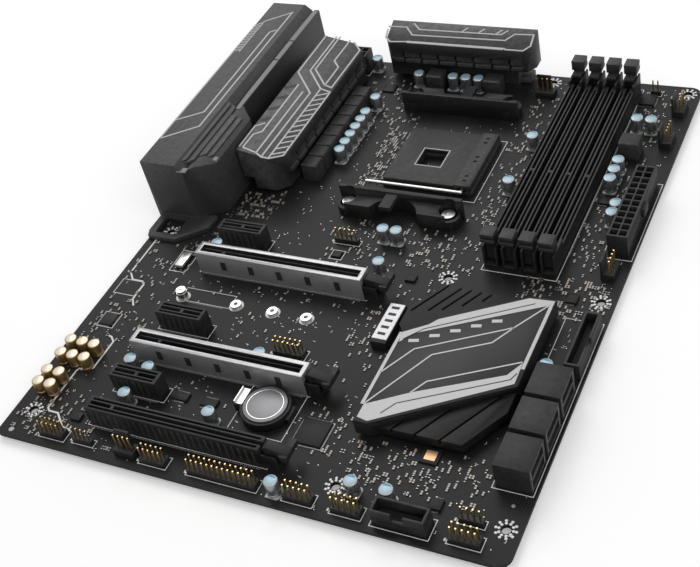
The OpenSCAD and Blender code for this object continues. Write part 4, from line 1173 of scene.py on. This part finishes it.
class BOARD_OT_expansion(bpy.types.Operator):
    """Finishes the expansion slots, their steel shields and latches"""
    bl_idname = "board.expansion"
    bl_label = "Expansion slots"

    def execute(self, context):
        for node in ("pcie_x16_slot_1", "pcie_x16_slot_2", "pcie_x16_slot_3", "pcie_x1_slots"):
            softened(node, moulded_black(), 0.15)
        for k in (1, 2, 3):
            softened("pcie_latch_%d" % k, moulded_black(), 0.2)
        for node in ("pcie_shield_1", "pcie_shield_2"):
            softened(node, shield_steel(), 0.12)
        vents = Shape()
        for n in (5, 2):
            y = slot_y(n)
            for k in range(5):
                x = 56 + 15.6 * k
                vents.box(x, y - 4.75, 4.2, x + 2.6, y - 4.0, 9.2)
        piece(vents, "shield_vents", moulded_black())
        rib = Shape()
        rib.box(-0.45, -0.25, 0.8, 0.45, 0.1, 9.6)
        ribs = [(46 + 3.3 * k, SLOT_FIRST - 3.7, 0) for k in range(26)]
        for n in SHORT_SLOTS:
            ribs += [(46 + 3.3 * k, slot_y(n) - 3.7, 0) for k in range(6)]
        repeat("slot_ribs", rib, ribs, moulded_grey(), bevel=0.08)
        spring = Shape()
        spring.box(-0.15, -0.12, 0, 0.15, 0.12, 1.2)
        springs = []
        for n in range(7):
            count = 84 if n in LONG_SLOTS else 18 if n in SHORT_SLOTS else 0
            springs += [(46 + 1.0 * k, slot_y(n) + side * 1.1, 9.4)
                        for k in range(count) for side in (-1, 1)]
        repeat("slot_contacts", spring, springs, nickel())
        return {"FINISHED"}


# ---------------------------------------------------------------- power parts

CAN_STEP = 6.75         # cans beside the left power heatsink
CANS = ([(76, 213.4 + CAN_STEP * k) for k in range(6)] + [(76, 260.8)] +
        [(112.4, 285.7), (119.9, 285.7), (127.4, 285.7), (92.1, 285.7), (61.4, 296.6), (125.2, 158.8),
         (132.2, 158.8), (172.9, 205.4), (172.9, 241.8), (220.34, 264.2), (227.44, 264.2), (220.34, 230.2),
         (220.34, 222.8), (220.34, 215.8), (228.14, 198.6), (228.14, 192), (142.5, 6.3), (174, 15.5),
         (189.5, 15.5), (54, 31.7), (98, 32), (56.4, 48.4), (103.6, 69), (132.7, 136.6), (228.6, 93.4),
         (45.2, 50.6), (46, 131.5)])
AUDIO_CANS = [(x, y) for x in (7, 13.8) for y in (28.2, 35.6)] + [
    (x, y) for x in (7, 13.8, 20.6) for y in (46.8, 55.4)]


class BOARD_OT_capacitors(bpy.types.Operator):
    """Builds the can capacitors: rolled shoulder, crimp, printed lid and moulded base"""
    bl_idname = "board.capacitors"
    bl_label = "Capacitors"

    def execute(self, context):
        can = Shape()
        can.lathe(0, 0, [(2.95, 0.5), (3.12, 0.75), (3.12, 1.5), (2.86, 1.85), (2.86, 2.15), (3.12, 2.5),
                         (3.12, 8.1), (2.98, 8.5), (2.7, 8.7)], 28)
        polymer, audio = ([(x, y, 0) for x, y in places] for places in (CANS, AUDIO_CANS))
        cans = repeat("polymer_cans", can, polymer, can_metal(), smooth=True)
        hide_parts("polymer_capacitors")
        lid = Shape()
        lid.lathe(0, 0, [(2.6, 8.6), (2.6, 8.72), (2.5, 8.76)], 28)
        repeat("polymer_lids", lid, polymer, can_lid(), smooth=True)
        mark = Shape()
        arc = [(2.4 * math.cos(a), 2.4 * math.sin(a)) for a in
               (math.radians(35 + 110 * k / 8) for k in range(9))]
        mark.prism(arc, 8.7, 8.79)
        repeat("polymer_marks", mark, polymer, can_ink())
        base = Shape()
        base.prism([(-3.1, -3.1), (2.2, -3.1), (3.1, -2.2), (3.1, 2.2), (2.2, 3.1), (-3.1, 3.1)], 0, 0.7)
        repeat("polymer_bases", base, polymer, pale_plastic())
        sleeve = Shape()
        sleeve.lathe(0, 0, [(2.85, 0.0), (3.0, 0.2), (3.0, 1.0), (2.8, 1.3), (3.0, 1.6), (3.0, 6.6),
                            (2.85, 6.9), (2.55, 6.95)], 28)
        sleeves = repeat("audio_sleeves", sleeve, audio, gold_sleeve(), smooth=True)
        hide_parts("audio_capacitors")
        lid = Shape()
        lid.lathe(0, 0, [(2.4, 6.9), (2.4, 6.97), (2.3, 7.0)], 28)
        repeat("audio_lids", lid, audio, gold_lid(), smooth=True)
        return {"FINISHED"}


class BOARD_OT_power_parts(bpy.types.Operator):
    """Finishes the chokes, transistors and thermal pads"""
    bl_idname = "board.power_parts"
    bl_label = "Chokes and transistors"

    def execute(self, context):
        softened("chokes", choke_body(), 0.3)
        paint(chip_black(), "mosfets")
        paint(rubber_pad(), "thermal_pads")
        return {"FINISHED"}


class BOARD_OT_connectors(bpy.types.Operator):
    """Finishes the power, drive, front and fan connectors and their pins"""
    bl_idname = "board.connectors"
    bl_label = "Connectors"

    def execute(self, context):
        for node in ("atx_power_connector", "cpu_power_connector", "sata_ports", "usb3_headers",
                     "header_bases"):
            softened(node, moulded_black(), 0.15)
        paint(gold(), "header_pins")
        mouths = Shape()
        stacks = round((span("sata_ports")[1].y - 34.3) / 19.1)
        for k in range(stacks):
            y = 34.3 + 19.1 * k
            for z in (1.1, 7.3):
                mouths.ribbon([(y + 1.4, z), (y + 15.6, z), (y + 15.6, z + 5.2), (y + 1.4, z + 5.2)], 0.5,
                              lambda a, b, h: at(241.84 - 0.02 + h * 0.2, a, b), closed=True)
        piece(mouths, "drive_mouths", trim_grey())
        return {"FINISHED"}


class BOARD_OT_chips(bpy.types.Operator):
    """Finishes the chips and adds their legs"""
    bl_idname = "board.chips"
    bl_label = "Chips"

    def execute(self, context):
        softened("chips", chip_black(), 0.08)
        leg = Shape()
        leg.box(-0.12, -0.55, -0.01, 0.12, 0.55, 0.25)
        spots = []
        for x, y, w, l in ((137.5, 32, 13, 13.6), (205.6, 16.6, 5, 5.4), (222.44, 137, 5, 5.6),
                           (72, 39.4, 8, 4.6), (87, 39.4, 8, 4.6), (9.4, 72.6, 7.4, 7.6),
                           (214.64, 285.2, 8.2, 9.2), (217.44, 204.8, 5.4, 4.6)):
            for k in range(int((w - 1) / 0.65)):
                spots += [(x + 0.7 + 0.65 * k, y - 0.4, 0), (x + 0.7 + 0.65 * k, y + l + 0.4, 0)]
            if w > 7 and l > 7:
                for k in range(int((l - 1) / 0.65)):
                    spots += [(x - 0.4, y + 0.7 + 0.65 * k, 0, math.pi / 2),
                              (x + w + 0.4, y + 0.7 + 0.65 * k, 0, math.pi / 2)]
        repeat("chip_legs", leg, spots, tin())
        pad = Shape()
        pad.box(194.6, 38.6, 0.85, 199.4, 43.4, 0.95)
        piece(pad, "chip_copper_pad", copper_pad())
        crystal = Shape()
        crystal.box(27, 117, 0.2, 32, 128, 2.4)
        piece(crystal, "crystal_can", nickel(), bevel=0.8, smooth=True)
        return {"FINISHED"}


class BOARD_OT_storage(bpy.types.Operator):
    """Finishes the card socket, its nuts, and the battery with its holder"""
    bl_idname = "board.storage_battery"
    bl_label = "Card socket and battery"

    def execute(self, context):
        softened("m2_socket", moulded_black(), 0.12)
        hood = Shape()
        hood.box(147.6, 93, 0.4, 155.2, 115.6, 4.35)
        piece(hood, "m2_socket_hood", shield_steel(), bevel=0.3)
        gaps = Shape()
        for k in range(5):
            gaps.box(149.4, 95.6 + 4.1 * k, 4.1, 153.2, 97.2 + 4.1 * k, 4.38)
        piece(gaps, "m2_hood_slots", moulded_black())
        paint(nickel(), "m2_mounts", "battery_clip")
        softened("battery_holder", moulded_black(), 0.2)
        softened("battery", cell_steel(), 0.3)
        low, high = span("battery")
        cx, cy = (low.x + high.x) / 2, (low.y + high.y) / 2
        ring = Shape()
        around = [(cx + 8.2 * math.cos(TURN * k / 48), cy + 8.2 * math.sin(TURN * k / 48))
                  for k in range(48)]
        ring.ribbon(around, 0.25, level(high.z - 0.02), 0.03, closed=True)
        piece(ring, "battery_ring", steel(), "coin_cell")
        return {"FINISHED"}


class BOARD_OT_rear_ports(bpy.types.Operator):
    """Finishes the rear ports"""
    bl_idname = "board.rear_ports"
    bl_label = "Rear ports"

    def execute(self, context):
        for node in ("ps2_usb_port", "display_ports", "usb_ports", "lan_usb_port"):
            softened(node, steel(), 0.12)
        softened("audio_jacks", moulded_black(), 0.15)
        tongues = Shape()
        rear = span("usb_ports")[0].x
        for y0 in (187.3, 228.8):
            for z in (4.2, 11.2):
                tongues.box(rear + 1.6, y0 + 1.6, z, rear + 9, y0 + 13, z + 1.4)
        piece(tongues, "port_tongues", port_blue())
        return {"FINISHED"}


# ---------------------------------------------------------------- add-on

OPERATORS = (BOARD_OT_stage, BOARD_OT_plate, BOARD_OT_legend, BOARD_OT_small_parts, BOARD_OT_cover,
             BOARD_OT_power_heatsinks, BOARD_OT_chipset, BOARD_OT_processor, BOARD_OT_memory,
             BOARD_OT_expansion, BOARD_OT_capacitors, BOARD_OT_power_parts, BOARD_OT_connectors,
             BOARD_OT_chips, BOARD_OT_storage, BOARD_OT_rear_ports)


class BOARD_PT_panel(bpy.types.Panel):
    """Lists the settings and the operators"""
    bl_label = "Motherboard"
    bl_idname = "BOARD_PT_panel"
    bl_space_type = "VIEW_3D"
    bl_region_type = "UI"
    bl_category = "Board"

    def draw(self, context):
        for group in (context.scene.board_sizes, context.scene.board_colours, context.scene.stage_settings):
            for name in group.__annotations__:
                self.layout.prop(group, name)
        for operator in OPERATORS:
            self.layout.operator(operator.bl_idname)


CLASSES = (BoardColours, BoardSizes, StageSettings, *OPERATORS, BOARD_PT_panel)


def register():
    for cls in CLASSES:
        bpy.utils.register_class(cls)
    bpy.types.Scene.board_colours = PointerProperty(type=BoardColours)
    bpy.types.Scene.board_sizes = PointerProperty(type=BoardSizes)
    bpy.types.Scene.stage_settings = PointerProperty(type=StageSettings)


def unregister():
    del bpy.types.Scene.stage_settings
    del bpy.types.Scene.board_sizes
    del bpy.types.Scene.board_colours
    for cls in reversed(CLASSES):
        bpy.utils.unregister_class(cls)


def main():
    register()
    for operator in OPERATORS:
        group, name = operator.bl_idname.split(".")
        getattr(getattr(bpy.ops, group), name)()


if __name__ == "__main__":
    main()
